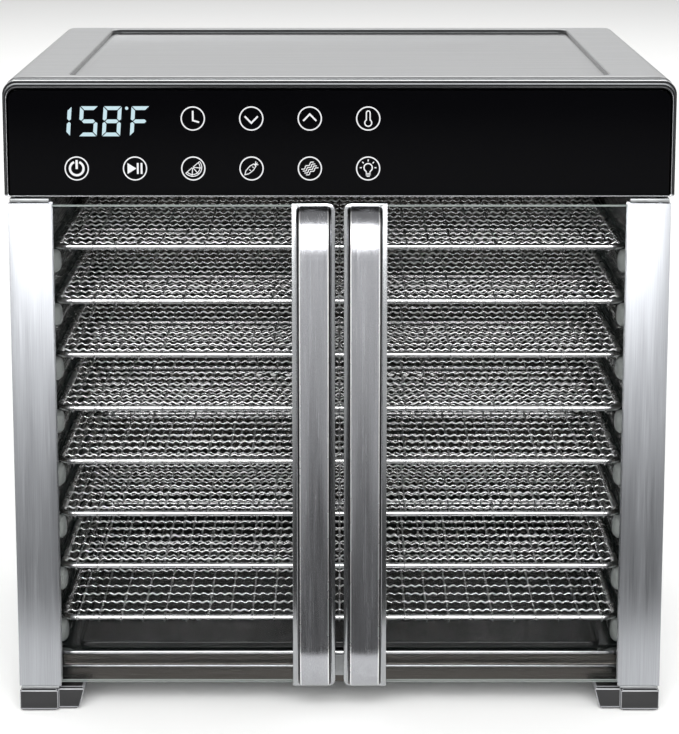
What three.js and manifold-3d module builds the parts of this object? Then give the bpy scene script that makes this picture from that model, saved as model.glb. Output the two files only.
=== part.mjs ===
// Counter-top food dehydrator: a steel cabinet with eight woven-mesh trays behind a pair of
// glazed doors, a glass control fascia above them, and a fan with a ring heater at the back.
// Millimetres, +Z up, the doors face -Y, the origin is on the table under the middle of the box.
import * as THREE from "three";
import { mergeVertices } from "three/addons/utils/BufferGeometryUtils.js";
import Module from "manifold-3d";

const wasm = await Module();
wasm.setup();

// ---- Driving dimensions -------------------------------------------------------------------

const WIDTH = 340; // across the head
const HEIGHT = 334; // table to the top of the cover
const BODY_DEPTH = 302; // fascia face to back panel face
const GRIP_STANDOFF = 15; // grip face in front of the door face
const REAR_STANDOUT = 7; // vent cover behind the back panel
const FRONT_Y = -(BODY_DEPTH + REAR_STANDOUT - GRIP_STANDOFF) / 2;

const SIDES = [
  [-1, "left"],
  [1, "right"],
];
const GAP = 0.3; // between pieces that touch
const SHEET = 1.2; // cabinet sheet steel

const BASE_Z = 12.6; // underside of the cabinet
const HEAD_Z = 274; // underside of the head
const CABINET_TOP_Z = HEAD_Z - GAP;
const BODY_HALF = 167; // half width over the side panels
const CABINET_FRONT = 11; // all depths are measured back from the fascia face
const CABINET_BACK = BODY_DEPTH - 1.5;

const LINER_HALF = 149.5; // half width of the chamber
const CHAMBER_BACK = 256;
const FLOOR_Z = 30; // top of the chamber floor
const CEILING_Z = 272.2;

const TRAY_COUNT = 8;
const TRAY_PITCH = 28.5;
const FIRST_TRAY_Z = 45.5; // middle of the lowest tray's frame wire
const TRAY_WIDTH = 296;
const TRAY_FRONT = 18;
const TRAY_DEPTH = 232;
const TRAY_WIRE = 3.2;

const DOOR_BOTTOM_Z = 14;
const DOOR_TOP_Z = 270.5;
const DOOR_OUTER = 168.3; // half width over both doors
const DOOR_THICK = 7.5;
const DOOR_GAP = 4.4; // between the two doors
const STILE_WIDTH = 22;
const TRIM_WIDTH = 22.2;
const GRIP_WIDTH = 18;
const PIVOT_INSET = 5; // hinge axis in from the door's outer edge
const PIN_RADIUS = 2;

const FAN_Z = 150;
const FAN_RADIUS = 75;
const FAN_FRONT = 263;
const FAN_THICK = 12;

// ---- Finishes -----------------------------------------------------------------------------

const FINISH = {
  brushedSteel: { color: 0xb4b6b8, roughness: 0.34, metalness: 1 },
  coverSteel: { color: 0x8e9092, roughness: 0.4, metalness: 1 },
  polishedSteel: { color: 0xd8dadc, roughness: 0.12, metalness: 1 },
  darkLiner: { color: 0x2b2a29, roughness: 0.3, metalness: 0.6 },
  galvanised: { color: 0x8c8f90, roughness: 0.5, metalness: 0.9 },
  blackGlass: { color: 0x050506, roughness: 0.05, metalness: 0 },
  clearGlass: { color: 0xdfe8e6, roughness: 0.03, metalness: 0, transparent: true, opacity: 0.25 },
  blackPlastic: { color: 0x1b1b1c, roughness: 0.45, metalness: 0 },
  blackEnamel: { color: 0x141414, roughness: 0.15, metalness: 0 },
  boardGreen: { color: 0x1f5a3a, roughness: 0.5, metalness: 0 },
  frostedLens: { color: 0xf2efe4, roughness: 0.6, metalness: 0 },
  heaterSheath: { color: 0x5b564f, roughness: 0.45, metalness: 0.8 },
};

// ---- Geometry helpers ---------------------------------------------------------------------

/** The y of a point that lies the given depth behind the fascia face. */
function behind(depth) {
  return FRONT_Y + depth;
}

/** A box between two x values, two depths and two heights, each pair in either order. */
function block(xs, depths, zs) {
  const size = [xs, depths, zs].map(([a, b]) => Math.abs(b - a));
  const geometry = new THREE.BoxGeometry(...size);
  const middle = [xs, depths, zs].map(([a, b]) => (a + b) / 2);
  return geometry.translate(middle[0], behind(middle[1]), middle[2]);
}

/** The pair [a, b] on the left (side -1) or right (side 1) half of the cabinet. */
function onSide(side, a, b) {
  return [side * a, side * b];
}

/** A rounded rectangle, with its own radius for the two upper and the two lower corners. */
function roundedRect(xs, ys, upper, lower = upper) {
  const [x0, x1] = xs;
  const [y0, y1] = ys;
  const outline = new THREE.Shape();
  outline.moveTo(x0 + lower, y0);
  outline.lineTo(x1 - lower, y0);
  outline.absarc(x1 - lower, y0 + lower, lower, -Math.PI / 2, 0);
  outline.lineTo(x1, y1 - upper);
  outline.absarc(x1 - upper, y1 - upper, upper, 0, Math.PI / 2);
  outline.lineTo(x0 + upper, y1);
  outline.absarc(x0 + upper, y1 - upper, upper, Math.PI / 2, Math.PI);
  outline.lineTo(x0, y0 + lower);
  outline.absarc(x0 + lower, y0 + lower, lower, Math.PI, Math.PI * 1.5);
  return outline;
}

/** A shape drawn in x and z, run back from one depth to another. */
function extrudeBack(shape, depths, curveSegments = 2) {
  const length = depths[1] - depths[0];
  const geometry = new THREE.ExtrudeGeometry(shape, {
    depth: length,
    bevelEnabled: false,
    curveSegments,
  });
  return geometry.rotateX(Math.PI / 2).translate(0, behind(depths[1]), 0);
}

/** A shape drawn in x and y, run up from one height to another. */
function extrudeUp(shape, zs, curveSegments = 2) {
  const geometry = new THREE.ExtrudeGeometry(shape, {
    depth: zs[1] - zs[0],
    bevelEnabled: false,
    curveSegments,
  });
  return geometry.translate(0, 0, zs[0]);
}

/** A shape drawn in y and z, run across from one x to another, with optional edge bevels. */
function extrudeAcross(shape, xs, bevel = 0, curveSegments = 4) {
  const geometry = new THREE.ExtrudeGeometry(shape, {
    depth: xs[1] - xs[0] - 2 * bevel,
    bevelEnabled: bevel > 0,
    bevelThickness: bevel,
    bevelSize: bevel,
    bevelOffset: -bevel,
    bevelSegments: 1,
    curveSegments,
  });
  const turn = new THREE.Matrix4().makeBasis(
    new THREE.Vector3(0, 1, 0),
    new THREE.Vector3(0, 0, 1),
    new THREE.Vector3(1, 0, 0),
  );
  return geometry.applyMatrix4(turn).translate(xs[0] + bevel, 0, 0);
}

/** A round bar along y at (x, z) between two depths. */
function rodBack(x, z, radius, depths, sides = 12) {
  const geometry = new THREE.CylinderGeometry(radius, radius, depths[1] - depths[0], sides);
  return geometry.translate(x, behind((depths[0] + depths[1]) / 2), z);
}

/** A round bar along z at (x, depth) between two heights. */
function rodUp(x, depth, radius, zs, sides = 12) {
  const geometry = new THREE.CylinderGeometry(radius, radius, zs[1] - zs[0], sides);
  return geometry.rotateX(Math.PI / 2).translate(x, behind(depth), (zs[0] + zs[1]) / 2);
}

/** A closed geometry as a manifold solid that can be joined and cut. */
function solid(geometry) {
  const bare = geometry.clone();
  bare.deleteAttribute("normal");
  bare.deleteAttribute("uv");
  const merged = mergeVertices(bare);
  return new wasm.Manifold(
    new wasm.Mesh({
      numProp: 3,
      vertProperties: new Float32Array(merged.attributes.position.array),
      triVerts: new Uint32Array(merged.index.array),
    }),
  );
}

/** Everything in the first list joined, less everything in the second. */
function carve(joined, cut = []) {
  let body = solid(joined[0]);
  for (const piece of joined.slice(1)) {
    body = body.add(solid(piece));
  }
  for (const piece of cut) {
    body = body.subtract(solid(piece));
  }
  return geometryOf(body);
}

/** A manifold solid as a three.js geometry. */
function geometryOf(body) {
  const mesh = body.getMesh();
  const geometry = new THREE.BufferGeometry();
  geometry.setAttribute("position", new THREE.BufferAttribute(mesh.vertProperties, 3));
  geometry.setIndex(new THREE.BufferAttribute(mesh.triVerts, 1));
  geometry.computeVertexNormals();
  return geometry;
}

/** Adds one named sub-part to a group. */
function addPart(group, name, geometry, finish) {
  const mesh = new THREE.Mesh(geometry, new THREE.MeshStandardMaterial(finish));
  mesh.name = name;
  group.add(mesh);
  return mesh;
}

// ---- Head: cover, bezel, fascia and what is behind them -----------------------------------

const COVER_FRONT = 6.3;
const COVER_RADIUS = 7;
const RECESS_HALF = 137.5;
const RECESS_DEPTH = 3;
const RECESS_FRONT = 17.7;
const RECESS_BACK = 286;

/** Folded cover, open below and in front, with a shallow pressed recess in its top. */
function topCover() {
  const half = WIDTH / 2 - 0.6;
  const outer = roundedRect([-half, half], [HEAD_Z, HEIGHT], COVER_RADIUS, 0.1);
  const inner = roundedRect(
    [-half + SHEET, half - SHEET],
    [HEAD_Z - 5, HEIGHT - SHEET],
    COVER_RADIUS - SHEET,
    0.1,
  );
  const recess = [-RECESS_HALF, RECESS_HALF];
  const dish = [-RECESS_HALF - SHEET, RECESS_HALF + SHEET];
  const dishDepths = [RECESS_FRONT - SHEET, RECESS_BACK + SHEET];
  const shell = carve(
    [extrudeBack(outer, [COVER_FRONT, BODY_DEPTH])],
    [extrudeBack(inner, [COVER_FRONT - 5, BODY_DEPTH - SHEET])],
  );
  const dishBlock = block(dish, dishDepths, [HEIGHT - RECESS_DEPTH - SHEET, HEIGHT]);
  const pocket = block(recess, [RECESS_FRONT, RECESS_BACK], [HEIGHT - RECESS_DEPTH, HEIGHT + 5]);
  return carve([shell, dishBlock], [pocket]);
}

const BEZEL_SIDE = 2.7;
const BEZEL_TOP = 4.8;
const BEZEL_BOTTOM = 1;
const BEZEL_TOP_Z = HEIGHT - 1;

/** Frame round the fascia glass. */
function fasciaBezel() {
  const half = WIDTH / 2;
  const ring = roundedRect([-half, half], [HEAD_Z, BEZEL_TOP_Z], COVER_RADIUS, 1);
  const hole = roundedRect(
    [-half + BEZEL_SIDE, half - BEZEL_SIDE],
    [HEAD_Z + BEZEL_BOTTOM, BEZEL_TOP_Z - BEZEL_TOP],
    COVER_RADIUS - 1.5,
    0.5,
  );
  ring.holes.push(hole);
  return extrudeBack(ring, [0, COVER_FRONT - GAP], 3);
}

/** Touch fascia of black glass, set in the bezel. */
function controlFascia() {
  const half = WIDTH / 2 - BEZEL_SIDE - GAP;
  const zs = [HEAD_Z + BEZEL_BOTTOM + GAP, BEZEL_TOP_Z - BEZEL_TOP - GAP];
  return extrudeBack(roundedRect([-half, half], zs, COVER_RADIUS - 1.8, 0.4), [0.5, 3.5], 3);
}

/** Builds the head on the cabinet. */
function head() {
  const group = new THREE.Group();
  addPart(group, "top_cover", topCover(), FINISH.coverSteel);
  addPart(group, "fascia_bezel", fasciaBezel(), FINISH.polishedSteel);
  addPart(group, "control_fascia", controlFascia(), FINISH.blackGlass);
  const display = block([-142, -90], [4, 11], [302, 323]);
  addPart(group, "display_module", display, FINISH.blackPlastic);
  const touchBoard = block([-150, 30], [11.5, 13.1], [280, 324]);
  addPart(group, "control_board", touchBoard, FINISH.boardGreen);
  const powerBoard = carve([
    block([60, 140], [150, 250], [280, 281.6]),
    block([75, 105], [165, 200], [281.4, 305]),
    block([115, 135], [165, 235], [281.4, 298]),
  ]);
  addPart(group, "power_board", powerBoard, FINISH.boardGreen);
  return group;
}

// ---- Cabinet ------------------------------------------------------------------------------

/** Outer side wall with its front and rear flanges folded in. */
function sidePanel(side) {
  const zs = [BASE_Z, CABINET_TOP_Z];
  const inner = BODY_HALF - SHEET;
  const rear = CABINET_BACK - GAP;
  return carve([
    block(onSide(side, inner, BODY_HALF), [CABINET_FRONT, rear], zs),
    block(onSide(side, LINER_HALF + 0.5, inner + 0.5), [CABINET_FRONT, CABINET_FRONT + SHEET], zs),
    block(onSide(side, inner - 12, inner + 0.5), [rear - SHEET, rear], zs),
  ]);
}

const RIB_HEIGHT = 12.5;
const RIB_REACH = 5.5;

/** The section of one pressed tray rib, flat on top where the tray's wire lies. */
function ribSection(side, top) {
  const wall = side * (LINER_HALF + 0.3);
  const nose = side * (LINER_HALF - RIB_REACH);
  const section = new THREE.Shape();
  section.moveTo(wall, top - RIB_HEIGHT);
  section.lineTo(nose + side * 1.6, top - RIB_HEIGHT);
  section.lineTo(nose, top - RIB_HEIGHT + 2.4);
  section.lineTo(nose, top - 0.8);
  section.lineTo(nose + side * 0.8, top);
  section.lineTo(wall, top);
  return section;
}

/** Chamber side wall with one rib under each tray. */
function liner(side) {
  const wall = block(
    onSide(side, LINER_HALF, LINER_HALF + SHEET),
    [CABINET_FRONT + SHEET + GAP, CHAMBER_BACK - GAP],
    [BASE_Z + 11.7, CEILING_Z - GAP],
  );
  const ribs = Array.from({ length: TRAY_COUNT }, (_, index) => {
    const top = trayZ(index) - TRAY_WIRE / 2 - GAP;
    return extrudeBack(ribSection(side, top), [16, 251]);
  });
  return carve([wall, ...ribs]);
}

/** Stepped front rail of the chamber floor, under the doors. */
function frontSill() {
  const front = CABINET_FRONT - 1;
  const face = front + 1;
  const back = CABINET_FRONT + SHEET;
  const beadZ = FLOOR_Z - 9;
  const outline = [
    [face, BASE_Z],
    [face, beadZ - 0.4],
    [front, beadZ],
    [front, beadZ + 1],
    [face, beadZ + 1.4],
    [face, FLOOR_Z - 2.2],
    [front, FLOOR_Z - 1.8],
    [front, FLOOR_Z - 0.6],
    [front + 0.6, FLOOR_Z],
    [front + 10, FLOOR_Z],
    [front + 10, FLOOR_Z - SHEET],
    [back, FLOOR_Z - SHEET],
    [back, BASE_Z],
  ];
  const points = outline.map(([depth, z]) => new THREE.Vector2(behind(depth), z));
  return extrudeAcross(new THREE.Shape(points), [-LINER_HALF + GAP, LINER_HALF - GAP]);
}

/** Bottom pan of the cabinet, with its edges folded up. */
function basePan() {
  const half = BODY_HALF - SHEET - GAP;
  const depths = [CABINET_FRONT + SHEET + GAP, CABINET_BACK - GAP - SHEET - GAP];
  const pocket = [depths[0] + SHEET, depths[1] - SHEET];
  return carve(
    [block([-half, half], depths, [BASE_Z, BASE_Z + 11.4])],
    [block([-half + SHEET, half - SHEET], pocket, [BASE_Z + SHEET, BASE_Z + 20])],
  );
}

/** Inner rear wall, pierced by two rings of air holes in front of the fan. */
function fanBaffle() {
  const half = BODY_HALF - SHEET - GAP;
  const holes = [
    [34, 8],
    [62, 12],
  ].flatMap(([ring, count]) =>
    Array.from({ length: count }, (_, index) => {
      const angle = (index / count) * Math.PI * 2;
      const x = ring * Math.cos(angle);
      const z = FAN_Z + ring * Math.sin(angle);
      return rodBack(x, z, 8, [CHAMBER_BACK - 2, CHAMBER_BACK + 4], 8);
    }),
  );
  const plate = block([-half, half], [CHAMBER_BACK, CHAMBER_BACK + SHEET], [24.3, CEILING_Z - GAP]);
  return carve([plate], holes);
}

const INLET_X = 118;
const INLET_Z = 42;

/** Rear panel with its vent slots and the opening for the power inlet. */
function backPanel() {
  const slots = Array.from({ length: 8 }, (_, index) => {
    const z = FAN_Z + (index - 3.5) * 13;
    return block([-60, 60], [CABINET_BACK - 1, BODY_DEPTH + 1], [z - 3, z + 3]);
  });
  const inletHole = block(
    [INLET_X - 14.5, INLET_X + 14.5],
    [CABINET_BACK - 1, BODY_DEPTH + 1],
    [INLET_Z - 10.5, INLET_Z + 10.5],
  );
  const plate = block([-BODY_HALF, BODY_HALF], [CABINET_BACK, BODY_DEPTH], [BASE_Z, CABINET_TOP_Z]);
  return carve([plate], [...slots, inletHole]);
}

/** Shallow louvred cover over the rear vent, open towards the panel. */
function rearVentCover() {
  const rear = BODY_DEPTH + REAR_STANDOUT;
  const slots = Array.from({ length: 7 }, (_, index) => {
    const z = FAN_Z + (index - 3) * 15;
    return block([-70, 70], [rear - 3, rear + 1], [z - 2.5, z + 2.5]);
  });
  const hollow = block([-83, 83], [BODY_DEPTH - 1, rear - SHEET - 0.8], [87, 213]);
  return carve([block([-85, 85], [BODY_DEPTH + GAP, rear], [85, 215])], [hollow, ...slots]);
}

/** Three-pin mains inlet: a flange outside, a socket body through the panel. */
function powerInlet() {
  const socket = block(
    [INLET_X - 12, INLET_X + 12],
    [BODY_DEPTH - 10, BODY_DEPTH + 9],
    [INLET_Z - 8, INLET_Z + 8],
  );
  const flange = block(
    [INLET_X - 16.5, INLET_X + 16.5],
    [BODY_DEPTH + GAP, BODY_DEPTH + 2.3],
    [INLET_Z - 12.5, INLET_Z + 12.5],
  );
  const sleeve = block(
    [INLET_X - 14, INLET_X + 14],
    [BODY_DEPTH - 13, BODY_DEPTH + 1],
    [INLET_Z - 10, INLET_Z + 10],
  );
  const hollowed = carve([flange, sleeve], [socket]);
  const pins = [
    [-7, -2],
    [0, 2],
    [7, -2],
  ].map(([dx, dz]) =>
    block(
      [INLET_X + dx - 1, INLET_X + dx + 1],
      [BODY_DEPTH - 11, BODY_DEPTH - 4],
      [INLET_Z + dz - 2, INLET_Z + dz + 2],
    ),
  );
  return carve([hollowed, ...pins]);
}

const FOOT_WIDTH = 34;
const FOOT_DEPTH = 42;
const FOOT_STEP_WIDTH = 20;
const FOOT_STEP = 3;

/** Moulded corner foot: stepped in plan, its inner flank leaning outwards to the table. */
function foot(side, atFront) {
  const plan = [
    [0, 0],
    [-FOOT_STEP_WIDTH, 0],
    [-FOOT_STEP_WIDTH, FOOT_STEP],
    [-FOOT_WIDTH, FOOT_STEP],
    [-FOOT_WIDTH, FOOT_DEPTH],
    [0, FOOT_DEPTH],
  ];
  const points = plan.map(([inset, depth]) => {
    const x = side * (DOOR_OUTER + inset);
    const y = behind(atFront ? depth + GAP : BODY_DEPTH - GAP - depth);
    return new THREE.Vector2(x, y);
  });
  const edge = 1.2;
  const height = BASE_Z - GAP;
  const geometry = new THREE.ExtrudeGeometry(new THREE.Shape(points), {
    depth: height - 2 * edge,
    bevelThickness: edge,
    bevelSize: edge,
    bevelOffset: -edge,
    bevelSegments: 1,
  });
  geometry.translate(0, 0, edge);
  return leanFlank(geometry, side, height);
}

/** Leans the inner flank of a foot: 3.5 mm over its full height. */
function leanFlank(geometry, side, height) {
  const lean = 3.5;
  const flank = DOOR_OUTER - FOOT_STEP_WIDTH - 6;
  const positions = geometry.attributes.position;
  for (let index = 0; index < positions.count; index += 1) {
    const x = positions.getX(index);
    const low = 1 - positions.getZ(index) / height;
    if (side * x < flank) {
      positions.setX(index, x + side * lean * low);
    }
  }
  return geometry;
}

/** Hinge plate at the top or bottom of a door, drilled for its pin. */
function hingePlate(side, zs) {
  const plate = block(onSide(side, 147.5, 167.5), [0.5, CABINET_FRONT - GAP], zs);
  const hole = rodUp(pivotX(side), DOOR_THICK / 2, PIN_RADIUS + GAP, [zs[0] - 1, zs[1] + 1]);
  return carve([plate], [hole]);
}

/** The x of a door's hinge axis. */
function pivotX(side) {
  return side * (DOOR_OUTER - PIVOT_INSET);
}

/** Adds the plates and pins that carry one door. */
function addHinges(group, side, name) {
  const upper = [270.9, 273];
  const lower = [BASE_Z, BASE_Z + 1];
  const steel = FINISH.galvanised;
  addPart(group, `${name}_upper_hinge_plate`, hingePlate(side, upper), steel);
  addPart(group, `${name}_lower_hinge_plate`, hingePlate(side, lower), steel);
  const depth = DOOR_THICK / 2;
  const upperPin = rodUp(pivotX(side), depth, PIN_RADIUS, [262, upper[1]]);
  const lowerPin = rodUp(pivotX(side), depth, PIN_RADIUS, [lower[0], 22]);
  addPart(group, `${name}_upper_hinge_pin`, upperPin, FINISH.polishedSteel);
  addPart(group, `${name}_lower_hinge_pin`, lowerPin, FINISH.polishedSteel);
}

/** Builds the fixed cabinet: shell, chamber, feet and hinges. */
function cabinet() {
  const group = new THREE.Group();
  const floorHalf = LINER_HALF - GAP;
  const floor = block([-floorHalf, floorHalf], [20.3, CHAMBER_BACK - GAP], [FLOOR_Z - SHEET, FLOOR_Z]);
  const ceilingHalf = BODY_HALF - SHEET - GAP;
  const ceilingDepths = [CABINET_FRONT + SHEET + GAP, CABINET_BACK - GAP - SHEET - GAP];
  const ceiling = block([-ceilingHalf, ceilingHalf], ceilingDepths, [CEILING_Z, CEILING_Z + SHEET]);
  addPart(group, "base_pan", basePan(), FINISH.galvanised);
  addPart(group, "chamber_floor", floor, FINISH.darkLiner);
  addPart(group, "chamber_ceiling", ceiling, FINISH.darkLiner);
  addPart(group, "front_sill", frontSill(), FINISH.darkLiner);
  addPart(group, "fan_baffle", fanBaffle(), FINISH.darkLiner);
  addPart(group, "back_panel", backPanel(), FINISH.galvanised);
  addPart(group, "rear_vent_cover", rearVentCover(), FINISH.blackPlastic);
  addPart(group, "power_inlet", powerInlet(), FINISH.blackPlastic);
  for (const [side, name] of SIDES) {
    addPart(group, `${name}_side_panel`, sidePanel(side), FINISH.brushedSteel);
    addPart(group, `${name}_liner`, liner(side), FINISH.darkLiner);
    addPart(group, `front_${name}_foot`, foot(side, true), FINISH.blackPlastic);
    addPart(group, `rear_${name}_foot`, foot(side, false), FINISH.blackPlastic);
    addHinges(group, side, name);
  }
  const lamp = block([-30, 30], [130, 142], [CEILING_Z - GAP - 3, CEILING_Z - GAP]);
  addPart(group, "chamber_lamp", lamp, FINISH.frostedLens);
  const probe = rodBack(120, 262, 2.2, [249, CHAMBER_BACK - GAP], 8);
  addPart(group, "temperature_probe", probe, FINISH.polishedSteel);
  const strike = block([-9.5, 9.5], [8.5, 9.7], [17, 28]);
  addPart(group, "magnet_strike", strike, FINISH.galvanised);
  return group;
}

// ---- Fan and heater -----------------------------------------------------------------------

/** Hub and six pitched blades, turning on the motor shaft. */
function fanWheel() {
  const bladeCount = 6;
  const chord = 23;
  const pitch = THREE.MathUtils.degToRad(30);
  const blades = Array.from({ length: bladeCount }, (_, index) => {
    const blade = new THREE.BoxGeometry(FAN_RADIUS - 11, 1.2, chord);
    blade.rotateX(pitch).translate((FAN_RADIUS + 11) / 2, 0, 0);
    return blade.rotateY((index / bladeCount) * Math.PI * 2);
  });
  const hub = new THREE.CylinderGeometry(14, 14, FAN_THICK, 20);
  const bore = new THREE.CylinderGeometry(3.4, 3.4, FAN_THICK + 2, 12);
  return carve([hub, ...blades], [bore]);
}

/** Shaded-pole motor can with its shaft, as one turned body along the shaft. */
function fanMotor() {
  const profile = [
    [0, 0],
    [28, 0],
    [28, 16],
    [24, 18.2],
    [7, 18.2],
    [7, 21],
    [3, 21],
    [3, 33],
    [0, 33],
  ];
  const points = profile.map(([radius, along]) => new THREE.Vector2(radius, along));
  const motor = new THREE.LatheGeometry(points, 20);
  return motor.rotateX(Math.PI).translate(0, behind(298), FAN_Z);
}

/** Strap across the motor's front, its ends folded back to the rear panel. */
function motorBracket() {
  const zs = [FAN_Z - 10, FAN_Z + 10];
  return carve(
    [
      block([-80, 80], [277.8, 279.3], zs),
      block([-80, -78.5], [279, 299], zs),
      block([78.5, 80], [279, 299], zs),
    ],
    [rodBack(0, FAN_Z, 8, [276, 281])],
  );
}

/** Sheathed heating element bent into an open ring round the fan. */
function heaterRing() {
  const radius = 95;
  const opening = THREE.MathUtils.degToRad(40);
  const centre = behind(FAN_FRONT + 6);
  const sweep = Math.PI * 2 - opening;
  const steps = 28;
  const route = Array.from({ length: steps + 1 }, (_, index) => {
    const angle = -Math.PI / 2 + opening / 2 + (index / steps) * sweep;
    const x = radius * Math.cos(angle);
    const z = FAN_Z + radius * Math.sin(angle);
    return new THREE.Vector3(x, centre, z);
  });
  const section = new THREE.Shape();
  section.absarc(0, 0, 3.2, 0, Math.PI * 2);
  return new THREE.ExtrudeGeometry(section, {
    steps,
    extrudePath: new THREE.CatmullRomCurve3(route),
    curveSegments: 4,
  });
}

/** Builds the air drive: the fixed motor and heater, and the wheel that turns. */
function airDrive() {
  const group = new THREE.Group();
  addPart(group, "fan_motor", fanMotor(), FINISH.galvanised);
  addPart(group, "motor_bracket", motorBracket(), FINISH.galvanised);
  addPart(group, "heater_element", heaterRing(), FINISH.heaterSheath);
  const wheel = addPart(group, "fan_wheel", fanWheel(), FINISH.galvanised);
  wheel.position.set(0, behind(FAN_FRONT + FAN_THICK / 2), FAN_Z);
  return group;
}

// ---- Trays --------------------------------------------------------------------------------

/** The height of a tray's frame wire, counted from the lowest tray. */
function trayZ(index) {
  return FIRST_TRAY_Z + index * TRAY_PITCH;
}

/** One tray round its own middle: a frame wire, eleven long wires and a cross wire. */
function trayRack() {
  const half = TRAY_WIDTH / 2;
  const halfDepth = TRAY_DEPTH / 2;
  const frame = roundedRect([-half, half], [-halfDepth, halfDepth], 8);
  const inner = roundedRect(
    [-half + TRAY_WIRE, half - TRAY_WIRE],
    [-halfDepth + TRAY_WIRE, halfDepth - TRAY_WIRE],
    8 - TRAY_WIRE,
  );
  frame.holes.push(inner);
  const wire = 1.4;
  const longWires = Array.from({ length: 11 }, (_, index) => {
    const bar = new THREE.BoxGeometry(wire, TRAY_DEPTH - TRAY_WIRE, wire);
    return bar.translate((index - 5) * (TRAY_WIDTH / 12), 0, 0);
  });
  const crossWire = new THREE.BoxGeometry(TRAY_WIDTH - TRAY_WIRE, wire, wire);
  crossWire.translate(0, 0, 0.2 - wire / 2);
  return carve([extrudeUp(frame, [-TRAY_WIRE / 2, TRAY_WIRE / 2]), crossWire, ...longWires]);
}

/** Shallow enamelled pan under the lowest tray. */
function dripTray() {
  const half = 138;
  const depths = [behind(12), behind(250)];
  const wall = 1.4;
  const rimZ = FLOOR_Z + 4.3;
  const outer = roundedRect([-half, half], depths, 6);
  const inner = roundedRect(
    [-half + wall, half - wall],
    [depths[0] + wall, depths[1] - wall],
    6 - wall,
  );
  return carve(
    [extrudeUp(outer, [FLOOR_Z + GAP, rimZ])],
    [extrudeUp(inner, [FLOOR_Z + GAP + 1.2, rimZ + 2])],
  );
}

/** Builds the tray stack. */
function trays() {
  const group = new THREE.Group();
  const rack = trayRack();
  for (let index = 0; index < TRAY_COUNT; index += 1) {
    const tray = addPart(group, `tray_${index + 1}`, rack, FINISH.polishedSteel);
    tray.position.set(0, behind(TRAY_FRONT + TRAY_DEPTH / 2), trayZ(index));
  }
  addPart(group, "drip_tray", dripTray(), FINISH.blackEnamel);
  return group;
}

// ---- Doors --------------------------------------------------------------------------------

const CHANNEL_WALL = 1.6;
const STILE_BITE = 7; // how far the glass enters the stile
const TRIM_BITE = 8; // how far the glass enters the handle channel
const GLASS_DEPTHS = [CHANNEL_WALL + GAP, DOOR_THICK - CHANNEL_WALL - GAP];
const GRIP_CENTRE = DOOR_GAP / 2 + TRIM_WIDTH / 2 - 0.3;
const GRIP_BEND = 26; // height of each curved end
const GRIP_THICK = 5;
const SCREW_INSET = 4; // screw axis in from the end of the grip

/** The heights of the two screws that hold a grip. */
function screwHeights() {
  return [DOOR_BOTTOM_Z + 1 + SCREW_INSET, DOOR_TOP_Z - 1 - SCREW_INSET];
}

/** Outer stile: a channel over the glass edge, closed at both ends round the hinge pins. */
function doorStile(side) {
  const inner = DOOR_OUTER - STILE_WIDTH;
  const zs = [DOOR_BOTTOM_Z, DOOR_TOP_Z];
  const slot = block(
    onSide(side, inner - 1, DOOR_OUTER - CHANNEL_WALL),
    [CHANNEL_WALL, DOOR_THICK - CHANNEL_WALL],
    [zs[0] - 1, zs[1] + 1],
  );
  const channel = carve([block(onSide(side, inner, DOOR_OUTER), [0, DOOR_THICK], zs)], [slot]);
  const plugXs = onSide(side, inner + STILE_BITE + 1, DOOR_OUTER - 0.5);
  const plugs = [
    [zs[0], zs[0] + 12],
    [zs[1] - 12, zs[1]],
  ].map((heights) => block(plugXs, [0.5, DOOR_THICK - 0.5], heights));
  const pinHole = rodUp(pivotX(side), DOOR_THICK / 2, PIN_RADIUS + GAP, [zs[0] - 1, zs[1] + 1]);
  return carve([channel, ...plugs], [pinHole]);
}

/** Handle channel over the inner edge of the glass, its free corners rounded. */
function doorTrim(side) {
  const zs = [DOOR_BOTTOM_Z, DOOR_TOP_Z];
  const edge = DOOR_GAP / 2;
  const radius = 4;
  const xs = side < 0 ? [-edge - TRIM_WIDTH, -edge] : [edge, edge + TRIM_WIDTH];
  const outline = new THREE.Shape();
  const free = side < 0 ? xs[1] : xs[0];
  const seat = side < 0 ? xs[0] : xs[1];
  outline.moveTo(seat, zs[0]);
  outline.lineTo(free + side * radius, zs[0]);
  outline.quadraticCurveTo(free, zs[0], free, zs[0] + radius);
  outline.lineTo(free, zs[1] - radius);
  outline.quadraticCurveTo(free, zs[1], free + side * radius, zs[1]);
  outline.lineTo(seat, zs[1]);
  const slot = block(
    onSide(side, edge + CHANNEL_WALL, edge + TRIM_WIDTH + 1),
    [CHANNEL_WALL, DOOR_THICK - CHANNEL_WALL],
    [zs[0] + 1, zs[1] - 1],
  );
  const screwHoles = screwHeights().map((z) =>
    rodBack(side * GRIP_CENTRE, z, 2.2, [-1, DOOR_THICK + 1]),
  );
  return carve([extrudeBack(outline, [0, DOOR_THICK], 4)], [slot, ...screwHoles]);
}

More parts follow.
